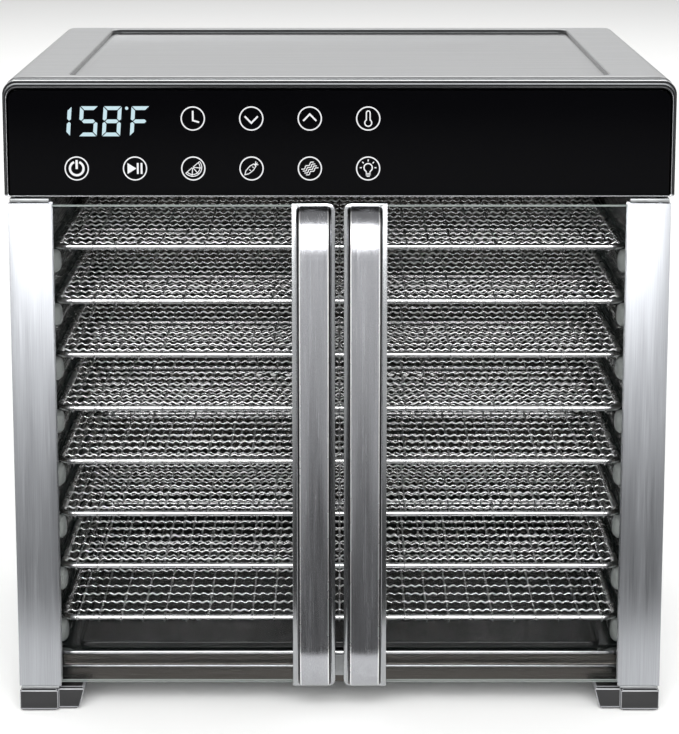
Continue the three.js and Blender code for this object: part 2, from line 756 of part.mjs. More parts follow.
/** Grip: a flat bar whose ends curve back to the door, with bevelled long edges. */
function doorGrip(side) {
  const foot = behind(-GAP);
  const bottom = DOOR_BOTTOM_Z + 1;
  const top = DOOR_TOP_Z - 1;
  const reach = GRIP_STANDOFF - GAP;
  const low = bottom + GRIP_BEND;
  const high = top - GRIP_BEND;
  const heel = 8;
  const section = new THREE.Shape();
  section.moveTo(foot, bottom);
  section.absellipse(foot, low, reach, GRIP_BEND, -Math.PI / 2, -Math.PI, true);
  section.lineTo(foot - reach, high);
  section.absellipse(foot, high, reach, GRIP_BEND, Math.PI, Math.PI / 2, true);
  section.lineTo(foot, top - heel);
  const inner = reach - GRIP_THICK;
  section.absellipse(foot, high, inner, GRIP_BEND - heel, Math.PI / 2, Math.PI, false);
  section.lineTo(foot - inner, low);
  section.absellipse(foot, low, inner, GRIP_BEND - heel, Math.PI, Math.PI * 1.5, false);
  section.lineTo(foot, bottom);
  const middle = side * GRIP_CENTRE;
  const xs = [middle - GRIP_WIDTH / 2, middle + GRIP_WIDTH / 2];
  const screwHoles = screwHeights().map((z) => rodBack(middle, z, 2.2, [-5, 1]));
  return carve([extrudeAcross(section, xs, 1.2, 3)], screwHoles);
}

/** Pan-head screw from inside the door into the grip. */
function gripScrew(side, z) {
  const headFront = DOOR_THICK + GAP;
  const head = rodBack(side * GRIP_CENTRE, z, 3.4, [headFront, headFront + 1.4]);
  const shank = rodBack(side * GRIP_CENTRE, z, 1.9, [-4.6, headFront + 0.5], 8);
  return carve([head, shank]);
}

/** Builds one door. */
function door(side, name) {
  const group = new THREE.Group();
  const glassXs = onSide(
    side,
    DOOR_OUTER - STILE_WIDTH + STILE_BITE,
    DOOR_GAP / 2 + TRIM_WIDTH - TRIM_BITE,
  );
  const glass = block(glassXs, GLASS_DEPTHS, [DOOR_BOTTOM_Z + 1.3, DOOR_TOP_Z - 1.3]);
  const magnet = block(onSide(side, 4.2, 9.2), GLASS_DEPTHS, [24, 44]);
  const [lowerZ, upperZ] = screwHeights();
  addPart(group, `${name}_door_stile`, doorStile(side), FINISH.brushedSteel);
  addPart(group, `${name}_door_glass`, glass, FINISH.clearGlass);
  addPart(group, `${name}_door_trim`, doorTrim(side), FINISH.polishedSteel);
  addPart(group, `${name}_door_grip`, doorGrip(side), FINISH.brushedSteel);
  addPart(group, `${name}_door_magnet`, magnet, FINISH.galvanised);
  addPart(group, `${name}_lower_grip_screw`, gripScrew(side, lowerZ), FINISH.galvanised);
  addPart(group, `${name}_upper_grip_screw`, gripScrew(side, upperZ), FINISH.galvanised);
  return group;
}

// ---- The whole dehydrator -----------------------------------------------------------------

const dehydrator = new THREE.Group();
dehydrator.add(cabinet(), head(), airDrive(), trays());
for (const [side, name] of SIDES) {
  dehydrator.add(door(side, name));
}

export default dehydrator;
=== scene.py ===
"""Visual model of a counter-top food dehydrator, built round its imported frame."""
import logging
import math
from dataclasses import dataclass, field
from enum import Enum
from typing import Callable, Iterable, Sequence

import bmesh
import bpy
from mathutils import Euler, Matrix, Vector


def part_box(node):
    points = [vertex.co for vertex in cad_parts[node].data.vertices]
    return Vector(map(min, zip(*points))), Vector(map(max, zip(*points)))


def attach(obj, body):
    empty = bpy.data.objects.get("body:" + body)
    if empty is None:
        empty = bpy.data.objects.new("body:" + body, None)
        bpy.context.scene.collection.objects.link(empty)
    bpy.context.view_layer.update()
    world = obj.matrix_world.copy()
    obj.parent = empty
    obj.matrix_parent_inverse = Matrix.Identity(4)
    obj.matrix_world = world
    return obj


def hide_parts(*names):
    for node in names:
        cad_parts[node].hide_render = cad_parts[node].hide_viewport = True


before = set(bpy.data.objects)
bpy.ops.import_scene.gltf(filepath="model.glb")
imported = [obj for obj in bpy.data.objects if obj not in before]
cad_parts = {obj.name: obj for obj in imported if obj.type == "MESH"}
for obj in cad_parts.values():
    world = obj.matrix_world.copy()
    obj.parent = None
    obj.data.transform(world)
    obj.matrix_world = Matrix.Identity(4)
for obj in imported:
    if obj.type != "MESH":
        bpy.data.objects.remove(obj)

LOG = logging.getLogger("dehydrator")
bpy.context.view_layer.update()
MM = 0.001

Point = tuple[float, float, float]
Flat = tuple[float, float]


# ---- Shared helpers -------------------------------------------------------------------------


@dataclass(frozen=True)
class Box:
    """A box in millimetres, in the row frame."""

    low: Vector
    high: Vector

    @property
    def middle(self) -> Vector:
        """The box's centre."""
        return (self.low + self.high) / 2

    @property
    def size(self) -> Vector:
        """The box's three lengths."""
        return self.high - self.low


def box_of(node: str) -> Box:
    """Reads where a frame node lies.

    Args:
        node: the frame node's name.

    Returns:
        The node's box in millimetres.
    """
    low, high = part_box(node)
    return Box(Vector(low) / MM, Vector(high) / MM)


def linear(hex_color: str) -> tuple[float, float, float, float]:
    """Turns an sRGB hex colour into linear light.

    Args:
        hex_color: six hex digits after a hash sign.

    Returns:
        Linear red, green and blue, and an alpha of 1.
    """
    channels = [int(hex_color[start : start + 2], 16) / 255 for start in (1, 3, 5)]
    curve = [c / 12.92 if c <= 0.04045 else ((c + 0.055) / 1.055) ** 2.4 for c in channels]
    return (curve[0], curve[1], curve[2], 1.0)


def add_node(
    tree: bpy.types.NodeTree, kind: str, inputs: dict | None = None, **settings: object
) -> bpy.types.Node:
    """Adds one node to a shader or geometry tree.

    Args:
        tree: the tree that gets the node.
        kind: the node's type name.
        inputs: socket name or index to a value, or to the output socket that feeds it.
        settings: the node's own properties.

    Returns:
        The new node.
    """
    node = tree.nodes.new(kind)
    for key, value in settings.items():
        setattr(node, key, value)
    for key, value in (inputs or {}).items():
        if isinstance(value, bpy.types.NodeSocket):
            tree.links.new(value, node.inputs[key])
        else:
            node.inputs[key].default_value = value
    return node


def smooth_faces(mesh: bpy.types.Mesh, angle: float = 32.0) -> None:
    """Shades a mesh smooth, with its edges over the angle, in degrees, kept sharp."""
    for polygon in mesh.polygons:
        polygon.use_smooth = True
    mesh.set_sharp_from_angle(angle=math.radians(angle))


def install(piece: bpy.types.Object, body: str, slot: str, *nodes: str) -> bpy.types.Object:
    """Hands a finished piece to the frame.

    Args:
        piece: the finished mesh object.
        body: the moving body that carries it.
        slot: the record's material slot; not used.
        nodes: the frame nodes that it stands for.

    Returns:
        The same piece.
    """
    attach(piece, body)
    if nodes:
        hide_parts(*nodes)
    LOG.info("%s: %d faces on %s", piece.name, len(piece.data.polygons), body)
    return piece


def dress(node: str, material: bpy.types.Material) -> None:
    """Gives a frame node that stays in view its finished material."""
    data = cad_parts[node].data
    data.materials.clear()
    data.materials.append(material)
    LOG.info("%s: kept, finished in %s", node, material.name)


def rounded_rect(xs: Flat, ys: Flat, radii: Sequence[float], steps: int = 6) -> list[Flat]:
    """Walks round a rectangle with rounded corners, counter-clockwise.

    Args:
        xs: left and right.
        ys: low and high.
        radii: corner radii, in the order low right, high right, high left, low left.
        steps: segments in each corner.

    Returns:
        The outline's points, steps + 1 for each corner.
    """
    corners = [(xs[1], ys[0], 1, -1), (xs[1], ys[1], 1, 1), (xs[0], ys[1], -1, 1), (xs[0], ys[0], -1, -1)]
    points = []
    for number, ((x, y, side_x, side_y), radius) in enumerate(zip(corners, radii)):
        centre_x, centre_y = x - side_x * radius, y - side_y * radius
        start = math.radians(-90 + 90 * number)
        for step in range(steps + 1):
            angle = start + math.radians(90) * step / steps
            points.append((centre_x + radius * math.cos(angle), centre_y + radius * math.sin(angle)))
    return points


class Builder:
    """Collects faces in millimetres and makes one mesh object of them."""

    def __init__(self) -> None:
        """Starts empty."""
        self.points: list[Point] = []
        self.faces: list[tuple[int, ...]] = []
        self.finishes: list[int] = []

    def face(self, corners: Sequence[int], finish: int = 0) -> None:
        """Adds one face on points that are already there."""
        self.faces.append(tuple(corners))
        self.finishes.append(finish)

    def loft(
        self,
        loops: Sequence[Sequence[Point]],
        finish: int | Callable[[int], int] = 0,
        caps: bool = True,
        ring: bool = False,
        open_loops: bool = False,
    ) -> None:
        """Joins loops of equal length into a skin.

        Args:
            loops: the loops, each a list of points.
            finish: material index, or a function of the band's number that gives it.
            caps: closes the first and the last loop with a face.
            ring: joins the last loop to the first.
            open_loops: the loops are open lines, so their ends aren't joined.
        """
        base, count = len(self.points), len(loops[0])
        for loop in loops:
            self.points.extend(tuple(point) for point in loop)
        bands = len(loops) if ring else len(loops) - 1
        for band in range(bands):
            this, following = base + band * count, base + ((band + 1) % len(loops)) * count
            index = finish(band) if callable(finish) else finish
            for step in range(count - 1 if open_loops else count):
                after = (step + 1) % count
                self.face((this + step, this + after, following + after, following + step), index)
        if caps and not ring:
            first, last = (finish(band) if callable(finish) else finish for band in (0, bands - 1))
            self.face([base + step for step in reversed(range(count))], first)
            self.face([base + bands * count + step for step in range(count)], last)

    def tube(self, path: Sequence[Point], radius: float, sides: int = 10, ring: bool = False) -> None:
        """Sweeps a round section along a path.

        Args:
            path: the centre line.
            radius: the section's radius.
            sides: the section's sides.
            ring: the path closes on itself.
        """
        line = [Vector(point) for point in path]
        loops = []
        up = Vector((0, 0, 1))
        for index, here in enumerate(line):
            before = line[index - 1] if index or ring else here
            after = line[(index + 1) % len(line)] if index + 1 < len(line) or ring else here
            along = (after - before).normalized()
            side = along.cross(up)
            side = side.normalized() if side.length > 1e-4 else Vector((1, 0, 0))
            rise = side.cross(along).normalized()
            turns = [2 * math.pi * step / sides for step in range(sides)]
            loops.append([here + radius * (math.cos(t) * side + math.sin(t) * rise) for t in turns])
        self.loft(loops, caps=not ring, ring=ring)

    def block(self, low: Sequence[float], high: Sequence[float], finish: int = 0) -> None:
        """Adds a plain box between two corners."""
        corners = ((low[0], low[1]), (high[0], low[1]), (high[0], high[1]), (low[0], high[1]))
        self.loft([[(x, y, z) for x, y in corners] for z in (low[2], high[2])], finish)

    def make(
        self,
        name: str,
        materials: Sequence[bpy.types.Material],
        bevel: float = 0.0,
        bevel_steps: int = 2,
        angle: float = 32.0,
        closed: bool = True,
    ) -> bpy.types.Object:
        """Turns what was collected into an object in metres.

        Args:
            name: the object's name.
            materials: its materials, in the order of the face indices.
            bevel: rounding of the sharp edges, in millimetres.
            bevel_steps: segments of that rounding.
            angle: edges sharper than this stay sharp in the shading.
            closed: turns all faces outwards, which needs closed skins.

        Returns:
            The linked object.
        """
        mesh = bpy.data.meshes.new(name)
        mesh.from_pydata([Vector(p) * MM for p in self.points], [], self.faces)
        for material in materials:
            mesh.materials.append(material)
        mesh.polygons.foreach_set("material_index", self.finishes)
        shape = bmesh.new()
        shape.from_mesh(mesh)
        bmesh.ops.remove_doubles(shape, verts=shape.verts, dist=1e-7)
        if closed:
            bmesh.ops.recalc_face_normals(shape, faces=shape.faces)
        if bevel:
            round_edges(shape, bevel, bevel_steps)
        shape.to_mesh(mesh)
        shape.free()
        smooth_faces(mesh, angle)
        return linked(name, mesh)


def linked(name: str, mesh: bpy.types.Mesh) -> bpy.types.Object:
    """Makes a mesh an object of the scene."""
    piece = bpy.data.objects.new(name, mesh)
    bpy.context.scene.collection.objects.link(piece)
    return piece


def round_edges(shape: bmesh.types.BMesh, width: float, steps: int, over: float = 35.0) -> None:
    """Rounds every edge whose faces meet at more than an angle.

    Args:
        shape: the mesh being edited, in metres.
        width: the rounding's width in millimetres.
        steps: its segments.
        over: the angle in degrees.
    """
    limit = math.radians(over)
    edges = [e for e in shape.edges if len(e.link_faces) == 2 and e.calc_face_angle(0) > limit]
    bmesh.ops.bevel(
        shape,
        geom=edges,
        offset=width * MM,
        offset_type="OFFSET",
        segments=steps,
        profile=0.5,
        affect="EDGES",
        clamp_overlap=True,
    )


def refined(
    node: str, name: str, material: bpy.types.Material, bevel: float, steps: int = 2
) -> bpy.types.Object:
    """Copies a frame node's shape with its edges rounded and its curves smooth.

    Args:
        node: the frame node.
        name: the new piece's name.
        material: its finish.
        bevel: the edge rounding in millimetres.
        steps: the rounding's segments.

    Returns:
        The new piece.
    """
    shape = bmesh.new()
    shape.from_mesh(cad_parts[node].data)
    bmesh.ops.remove_doubles(shape, verts=shape.verts, dist=2e-6)
    flat = math.radians(0.5)
    bmesh.ops.dissolve_limit(shape, angle_limit=flat, verts=shape.verts, edges=shape.edges)
    round_edges(shape, bevel, steps)
    mesh = bpy.data.meshes.new(name)
    shape.to_mesh(mesh)
    shape.free()
    mesh.materials.clear()
    mesh.materials.append(material)
    smooth_faces(mesh)
    return linked(name, mesh)


# ---- Finishes -------------------------------------------------------------------------------


class Grain(Enum):
    """The way that the lines of a brushed finish run."""

    ACROSS = 0
    BACK = 1
    UP = 2


def new_material(name: str) -> tuple[bpy.types.Material, bpy.types.NodeTree, bpy.types.Node]:
    """Makes an empty node material.

    Args:
        name: the material's name.

    Returns:
        The material, its tree and its surface shader.
    """
    material = bpy.data.materials.new(name)
    material.use_nodes = True
    tree = material.node_tree
    tree.nodes.clear()
    surface = add_node(tree, "ShaderNodeBsdfPrincipled")
    add_node(tree, "ShaderNodeOutputMaterial", {"Surface": surface.outputs["BSDF"]})
    return material, tree, surface


def vary(
    surface: bpy.types.Node,
    pattern: bpy.types.NodeSocket,
    color: str,
    tones: Flat,
    rough: Flat | None = None,
    target: str = "Base Color",
) -> None:
    """Lets a pattern shift a surface's tone, and its roughness too.

    Args:
        surface: the surface shader.
        pattern: the pattern's value, 0 to 1.
        color: the finish's colour.
        tones: the share of that colour where the pattern is 0 and where it is 1.
        rough: the roughness at both, or none for one that is even.
        target: the colour socket that is fed.
    """
    tree = surface.id_data
    low, high = (tuple(min(1.0, c * tone) for c in linear(color)[:3]) + (1.0,) for tone in tones)
    shade = add_node(tree, "ShaderNodeMix", {0: pattern, 6: low, 7: high}, data_type="RGBA")
    tree.links.new(shade.outputs[2], surface.inputs[target])
    if rough:
        spread = add_node(tree, "ShaderNodeMapRange", {0: pattern, 3: rough[0], 4: rough[1]})
        tree.links.new(spread.outputs[0], surface.inputs["Roughness"])


@dataclass(frozen=True)
class BrushedSteel:
    """Stainless sheet drawn under an abrasive belt: fine straight lines that spread light.

    The belt leaves hair-fine lines of random depth. They are drawn here a third of a
    millimetre wide, because real ones are too fine to show.
    """

    name: str
    color: str
    grain: Grain
    roughness: float = 0.32
    hair_mm: float = 0.35
    length_mm: float = 45.0
    contrast: float = 0.16
    relief: float = 0.12
    relief_mm: float = 0.05

    def material(self) -> bpy.types.Material:
        """Builds the material."""
        material, tree, surface = new_material(self.name)
        surface.inputs["Metallic"].default_value = 1.0
        coordinates = add_node(tree, "ShaderNodeTexCoord").outputs["Object"]
        # Single hairs, and the broader bands that the belt's wear leaves between them.
        fine = self.streaks(tree, coordinates, self.hair_mm, self.length_mm)
        broad = self.streaks(tree, coordinates, self.hair_mm * 14, self.length_mm * 4)
        both = add_node(tree, "ShaderNodeMix", {0: 0.35, 2: fine, 3: broad}, data_type="FLOAT").outputs[0]
        tones = (1 - self.contrast, 1 + self.contrast)
        vary(surface, both, self.color, tones, (self.roughness - 0.06, self.roughness + 0.08))
        relief = add_node(
            tree,
            "ShaderNodeBump",
            {"Strength": self.relief, "Distance": self.relief_mm * MM, "Height": fine},
        )
        tree.links.new(relief.outputs[0], surface.inputs["Normal"])
        return material

    def streaks(
        self, tree: bpy.types.NodeTree, coordinates: bpy.types.NodeSocket, width: float, length: float
    ) -> bpy.types.NodeSocket:
        """Adds noise that is drawn out along the grain.

        Args:
            tree: the material's tree.
            coordinates: the object coordinates.
            width: line width in millimetres.
            length: line length in millimetres.

        Returns:
            The noise value, 0 to 1.
        """
        scale = [1 / (width * MM)] * 3
        scale[self.grain.value] = 1 / (length * MM)
        place = add_node(tree, "ShaderNodeMapping", {"Vector": coordinates, "Scale": scale})
        noise = add_node(
            tree,
            "ShaderNodeTexNoise",
            {"Vector": place.outputs[0], "Scale": 1.0, "Detail": 2.0, "Roughness": 0.6},
        )
        spread = add_node(tree, "ShaderNodeMapRange", {0: noise.outputs["Fac"], 1: 0.3, 2: 0.7})
        return spread.outputs[0]


@dataclass(frozen=True)
class PolishedSteel:
    """Buffed or plated steel: near-mirror, with faint smears in its gloss."""

    name: str
    color: str
    roughness: float = 0.14
    smear_mm: float = 14.0
    smear: float = 0.05

    def material(self) -> bpy.types.Material:
        """Builds the material."""
        material, tree, surface = new_material(self.name)
        surface.inputs["Metallic"].default_value = 1.0
        coordinates = add_node(tree, "ShaderNodeTexCoord").outputs["Object"]
        smears = add_node(
            tree,
            "ShaderNodeTexNoise",
            {"Vector": coordinates, "Scale": 1 / (self.smear_mm * MM), "Detail": 3.0},
        )
        rough = (self.roughness - self.smear, self.roughness + self.smear)
        vary(surface, smears.outputs["Fac"], self.color, (0.92, 1.0), rough)
        return material


@dataclass(frozen=True)
class ZincPlate:
    """Galvanised sheet: dull grey metal with a faint crystal spangle."""

    name: str
    color: str
    spangle_mm: float = 5.0

    def material(self) -> bpy.types.Material:
        """Builds the material."""
        material, tree, surface = new_material(self.name)
        surface.inputs["Metallic"].default_value = 1.0
        coordinates = add_node(tree, "ShaderNodeTexCoord").outputs["Object"]
        cells = add_node(
            tree, "ShaderNodeTexVoronoi", {"Vector": coordinates, "Scale": 1 / (self.spangle_mm * MM)}
        )
        tone = add_node(tree, "ShaderNodeSeparateColor", {0: cells.outputs["Color"]}).outputs[0]
        vary(surface, tone, self.color, (0.85, 1.0), (0.38, 0.52))
        return material


@dataclass(frozen=True)
class Moulding:
    """Injection-moulded ABS or similar: matt, with a fine spark-eroded grain."""

    name: str
    color: str
    roughness: float = 0.42
    grit_mm: float = 0.5
    cloud_mm: float = 25.0
    relief: float = 0.25
    relief_mm: float = 0.06

    def material(self) -> bpy.types.Material:
        """Builds the material."""
        material, tree, surface = new_material(self.name)
        coordinates = add_node(tree, "ShaderNodeTexCoord").outputs["Object"]
        grit = add_node(
            tree,
            "ShaderNodeTexNoise",
            {"Vector": coordinates, "Scale": 1 / (self.grit_mm * MM), "Detail": 2.0},
        )
        cloud = add_node(
            tree,
            "ShaderNodeTexNoise",
            {"Vector": coordinates, "Scale": 1 / (self.cloud_mm * MM), "Detail": 3.0},
        )
        rough = (self.roughness - 0.06, self.roughness + 0.06)
        vary(surface, cloud.outputs["Fac"], self.color, (0.8, 1.0), rough)
        relief = add_node(
            tree,
            "ShaderNodeBump",
            {"Strength": self.relief, "Distance": self.relief_mm * MM, "Height": grit.outputs["Fac"]},
        )
        tree.links.new(relief.outputs[0], surface.inputs["Normal"])
        return material


@dataclass(frozen=True)
class GlossCoat:
    """A hard gloss surface such as vitreous enamel, glass or back-painted glass."""

    name: str
    color: str
    roughness: float = 0.08
    gloss: float = 0.5
    alpha: float = 1.0
    wave_mm: float = 30.0

    def material(self) -> bpy.types.Material:
        """Builds the material."""
        material, tree, surface = new_material(self.name)
        surface.inputs["Specular IOR Level"].default_value = self.gloss
        surface.inputs["Alpha"].default_value = self.alpha
        coordinates = add_node(tree, "ShaderNodeTexCoord").outputs["Object"]
        wave = add_node(
            tree,
            "ShaderNodeTexNoise",
            {"Vector": coordinates, "Scale": 1 / (self.wave_mm * MM), "Detail": 2.0},
        )
        rough = (self.roughness * 0.8, self.roughness * 1.25)
        vary(surface, wave.outputs["Fac"], self.color, (0.85, 1.0), rough)
        return material


@dataclass(frozen=True)
class Lit:
    """Ink or a display segment with light behind it, a little uneven as such light is."""

    name: str
    color: str
    strength: float
    mottle_mm: float = 1.5

    def material(self) -> bpy.types.Material:
        """Builds the material."""
        material, tree, surface = new_material(self.name)
        surface.inputs["Base Color"].default_value = linear("#1c1e1f")
        surface.inputs["Roughness"].default_value = 0.4
        surface.inputs["Emission Strength"].default_value = self.strength
        coordinates = add_node(tree, "ShaderNodeTexCoord").outputs["Object"]
        mottle = add_node(
            tree,
            "ShaderNodeTexNoise",
            {"Vector": coordinates, "Scale": 1 / (self.mottle_mm * MM), "Detail": 2.0},
        )
        vary(surface, mottle.outputs["Fac"], self.color, (0.9, 1.0), target="Emission Color")
        return material


class Palette:
    """Every finish on the dehydrator, made once."""

    def __init__(self) -> None:
        """Builds all materials."""
        # Stainless stiles, brushed lengthwise: lamps smear into tall soft bands.
        self.stile = BrushedSteel("brushed_steel_upright", "#a4a6aa", Grain.UP, 0.36).material()
        # Grips, brushed finer: the same bands with firmer ends, so the bends flash.
        self.grip = BrushedSteel("brushed_steel_grip", "#acadb1", Grain.UP, 0.22).material()
        # Side sheets, brushed front to back with a coarser belt: a wide even sheen.
        self.side = BrushedSteel("brushed_steel_side", "#a9abac", Grain.BACK, hair_mm=0.5).material()
        # Cover of satin-rolled sheet: nearly lineless grey that fades softly to the back.
        self.cover = BrushedSteel(
            "satin_steel_cover", "#898a8b", Grain.ACROSS, 0.34, contrast=0.02, relief=0.02
        ).material()
        # Chamber walls of dark rolled sheet: a brown-black that dimly mirrors the trays.
        self.liner = BrushedSteel(
            "dark_steel_liner", "#45423f", Grain.BACK, 0.24, contrast=0.1, relief=0.05
        ).material()
        # Sill of satin dark steel. Its top lip and its bead carry painted highlights: long level lines of
        # brighter steel.
        self.sill = BrushedSteel(
            "satin_steel_sill", "#4c4946", Grain.ACROSS, 0.22, contrast=0.03, relief=0.02
        ).material()
        # Buffed stainless on the bezel's ridges, the hinge pins, the probe and the screws: thin lines close
        # to white. On the stiles' rounded edges and on the sill's top lip the same steel is a painted
        # highlight.
        self.bright = PolishedSteel("polished_steel", "#c6c7c9").material()
        # Electropolished mesh wire: every crimp carries a small bright spot. On the grips the same
        # near-white steel is a painted highlight along each edge of the brushed flat.
        self.wire = PolishedSteel("electropolished_wire", "#efeff0", 0.27).material()
        # Painted shade: near-black steel on the bezel's grooves and on the grips' outer chamfers, so that
        # the ridges stand out.
        self.groove = PolishedSteel("shadow_groove_steel", "#2b2b2c", 0.3).material()
        # Painted shade: dark grey steel on the bezel's middle steps and on the sloping wall of the cover's
        # recess, a halfway tone between the bright and the dark.
        self.half_shade = PolishedSteel("painted_half_shade_steel", "#4e4f50", 0.24).material()
        # Drawn channel along the doors' inner edges: soft mirror, a little grey. On the sill's bead it is a
        # painted highlight.
        self.trim = PolishedSteel("drawn_steel_channel", "#a7a9ab", 0.22).material()
        # Heater tube after firing: straw-brown oxide with a weak shine.
        self.sheath = PolishedSteel("heat_tinted_sheath", "#6b6258", 0.42).material()
        # Zinc-plated sheet and screws: dull silver, mottled by its crystals.
        self.zinc = ZincPlate("zinc_plated_sheet", "#9a9c9d").material()
        # Black paint seen through glass: no colour of its own, only a weak reflection.
        self.fascia = GlossCoat("back_painted_black_glass", "#020203", 0.06, 0.04).material()
        # Toughened pane: all but invisible, with a faint darkening and sharp reflections.
        self.pane = GlossCoat("clear_toughened_glass", "#0d1312", 0.02, alpha=0.1).material()
        # Ground edges of the pane: a frosted grey-green line.
        self.edge = GlossCoat("ground_glass_edge", "#aab3b0", 0.3, alpha=0.5).material()
        # Vitreous enamel on the drip tray: deep black under a wet-looking skin.
        self.enamel = GlossCoat("gloss_black_enamel", "#0c0c0d", 0.22, 0.35).material()
        # Moulded ABS, spark-grained: black that goes grey where light grazes it.
        self.plastic = Moulding("black_abs_moulding", "#111113", 0.36).material()
        # Painted highlight on the feet's rounded edges: a pale grey line on the black moulding, where those
        # edges would catch the light.
        self.edge_highlight = Moulding("painted_highlight_abs_edge", "#8a8b8e", 0.3, relief=0.05).material()
        # Painted highlight on the front ends of the ribs: a pale grey that stands in for light falling on
        # the pressed steel.
        self.rib_end_highlight = Moulding("painted_highlight_rib_end", "#8f9391", 0.35, relief=0.05).material()
        # Solder resist over glass fibre: mid green with a slight weave in its sheen.
        self.board = Moulding("green_circuit_board", "#1f5a3a", 0.5).material()
        # Frosted lamp lens: warm white, with no highlight of its own.
        self.lens = Moulding("frosted_lamp_lens", "#f2efe4", 0.6).material()
        # Screen-printed marks lit from behind: flat clean white.
        self.ink = Lit("white_screen_print", "#fdfdff", 0.92).material()
        # Display segments: white with a cold blue-green cast.
        self.digits = Lit("pale_cyan_segments", "#cfeef7", 0.86).material()


# ---- Head -----------------------------------------------------------------------------------


class Rim(Enum):
    """The finishes of the bezel's steps, by their material index; the dark and the dark grey steps are
    painted shade.
    """

    BRIGHT = 0
    DARK = 1
    HALF_SHADE = 2


@dataclass
class Head:
    """Top cover, bezel, fascia glass and the electronics behind it."""

    palette: Palette
    side_radius: float = 7.0
    front_radius: float = 1.4
    back_radius: float = 5.0
    recess_half: float = 137.5
    recess_front: float = 17.7
    recess_back: float = 286.0
    recess_depth: float = 3.0
    bright_foot: float = 1.0
    shaded_recess_bands: tuple[int, ...] = (12, 13)
    sheet: float = 1.2

    def build(self) -> None:
        """Builds the head."""
        install(self.cover(), "cabinet", "cover_steel", "top_cover")
        install(self.bezel(), "cabinet", "polished_steel", "fascia_bezel")
        dress("control_fascia", self.palette.fascia)
        dress("display_module", self.palette.plastic)
        dress("control_board", self.palette.board)
        dress("power_board", self.palette.board)

    def cover(self) -> bpy.types.Object:
        """Folded cover with soft long edges and a pressed recess, open in front and below."""
        box = box_of("top_cover")
        face = box_of("fascia_bezel").low.y
        low, high = box.low, box.high
        loops = []

        def plan(inset: float, front: float, back: float, radius: float, z: float) -> None:
            """Adds the cover's outline at one height, drawn in from the sides, front and back."""
            xs, ys = (low.x + inset, high.x - inset), (low.y + front, high.y - back)
            loops.append([(x, y, z) for x, y in rounded_rect(xs, ys, [radius] * 4, 5)])

        plan(0, 0, 0, 1.5, low.z)
        for step in range(9):
            turn = math.radians(90) * step / 8
            away, rise = 1 - math.cos(turn), 1 - math.sin(turn)
            plan(
                self.side_radius * away,
                self.front_radius * away,
                self.back_radius * away,
                1.5,
                high.z - self.side_radius * rise,
            )
        inset = high.x - self.recess_half
        front, back = face + self.recess_front - low.y, high.y - face - self.recess_back
        depth = self.recess_depth
        for out, drop, radius in ((1.6, 0, 7), (1.0, 0.12, 6.6), (0.5, 0.5, 6.2), (0, depth - 0.9, 5.6)):
            plan(inset - out, front - out, back - out, radius, high.z - drop)
        for out, drop, radius in ((-0.3, depth - 0.35, 5.2), (-0.9, depth, 4.8)):
            plan(inset - out, front - out, back - out, radius, high.z - drop)
        skin = Builder()
        # The recess's sloping wall takes the dark grey steel: painted shade that outlines the recess.
        skin.loft(loops, lambda band: int(band in self.shaded_recess_bands), caps=False)
        last = len(loops) * len(loops[0])
        skin.face(range(last - len(loops[0]), last))
        piece = skin.make("top_cover_shell", [self.palette.cover, self.palette.half_shade], angle=40)
        self.open_front(piece.data, low.y * MM, (high.z - self.side_radius) * MM)
        shell = piece.modifiers.new("sheet", "SOLIDIFY")
        shell.thickness, shell.offset = self.sheet * MM, -1
        return applied(piece)

    def open_front(self, mesh: bpy.types.Mesh, front: float, below: float) -> None:
        """Takes out the front wall, so that the cover is open behind the fascia.

        Args:
            mesh: the cover's mesh.
            front: the y of the wall.
            below: the height under which faces go.
        """
        shape = bmesh.new()
        shape.from_mesh(mesh)
        near = 1e-5
        wall = [
            f
            for f in shape.faces
            if all(v.co.y < front + near and v.co.z < below + near for v in f.verts)
        ]
        bmesh.ops.delete(shape, geom=wall, context="FACES")
        shape.to_mesh(mesh)
        shape.free()
        smooth_faces(mesh, 40)

    def bezel(self) -> bpy.types.Object:
        """Stepped bright frame round the fascia: bright ridges run all round it, with painted shade on the
        grooves and steps between them.
        """
        box = box_of("fascia_bezel")
        glass = box_of("control_fascia")
        gap = 0.3
        side = glass.low.x - gap - box.low.x
        top = box.high.z - glass.high.z - gap
        bottom = glass.low.z - gap - box.low.z
        section = [
            (0.0, 6.3, Rim.BRIGHT),
            (0.0, 1.2, Rim.BRIGHT),
            (0.02, 0.7, Rim.BRIGHT),
            (0.07, 0.4, Rim.DARK),
            (0.12, 0.9, Rim.DARK),
            (0.26, 0.9, Rim.DARK),
            (0.28, 0.45, Rim.HALF_SHADE),
            (0.42, 0.35, Rim.DARK),
            (0.46, 0.9, Rim.DARK),
            (0.58, 0.9, Rim.DARK),
            (0.6, 0.35, Rim.BRIGHT),
            (0.64, 0.05, Rim.BRIGHT),
            (0.72, 0.1, Rim.HALF_SHADE),
            (0.82, 0.7, Rim.DARK),
            (1.0, 1.8, Rim.DARK),
            (1.0, 6.0, Rim.DARK),
        ]
        loops = []
        for share, depth, _ in section:
            xs = (box.low.x + side * share, box.high.x - side * share)
            zs = (box.low.z + bottom * share, box.high.z - top * share)
            upper, lower = 7.0 - 1.5 * share, 1.2 - 0.6 * share
            outline = rounded_rect(xs, zs, [lower, upper, upper, lower], 10)
            y = min(box.low.y + depth, box.high.y)
            loops.append([(x, y, z) for x, z in outline])
        ring = Builder()
        ring.loft(loops, lambda band: section[band][2].value, ring=True)
        # Bright steel, then the painted shade of the grooves and of the grey steps.
        finishes = [self.palette.bright, self.palette.groove, self.palette.half_shade]
        piece = ring.make("fascia_bezel_ring", finishes, angle=50)
        # Every face in the bottom millimetre takes the bright steel, so the painted shade stops short of
        # the lower edge.
        for face in piece.data.polygons:
            if face.center.z < (box.low.z + self.bright_foot) * MM:
                face.material_index = Rim.BRIGHT.value
        return piece


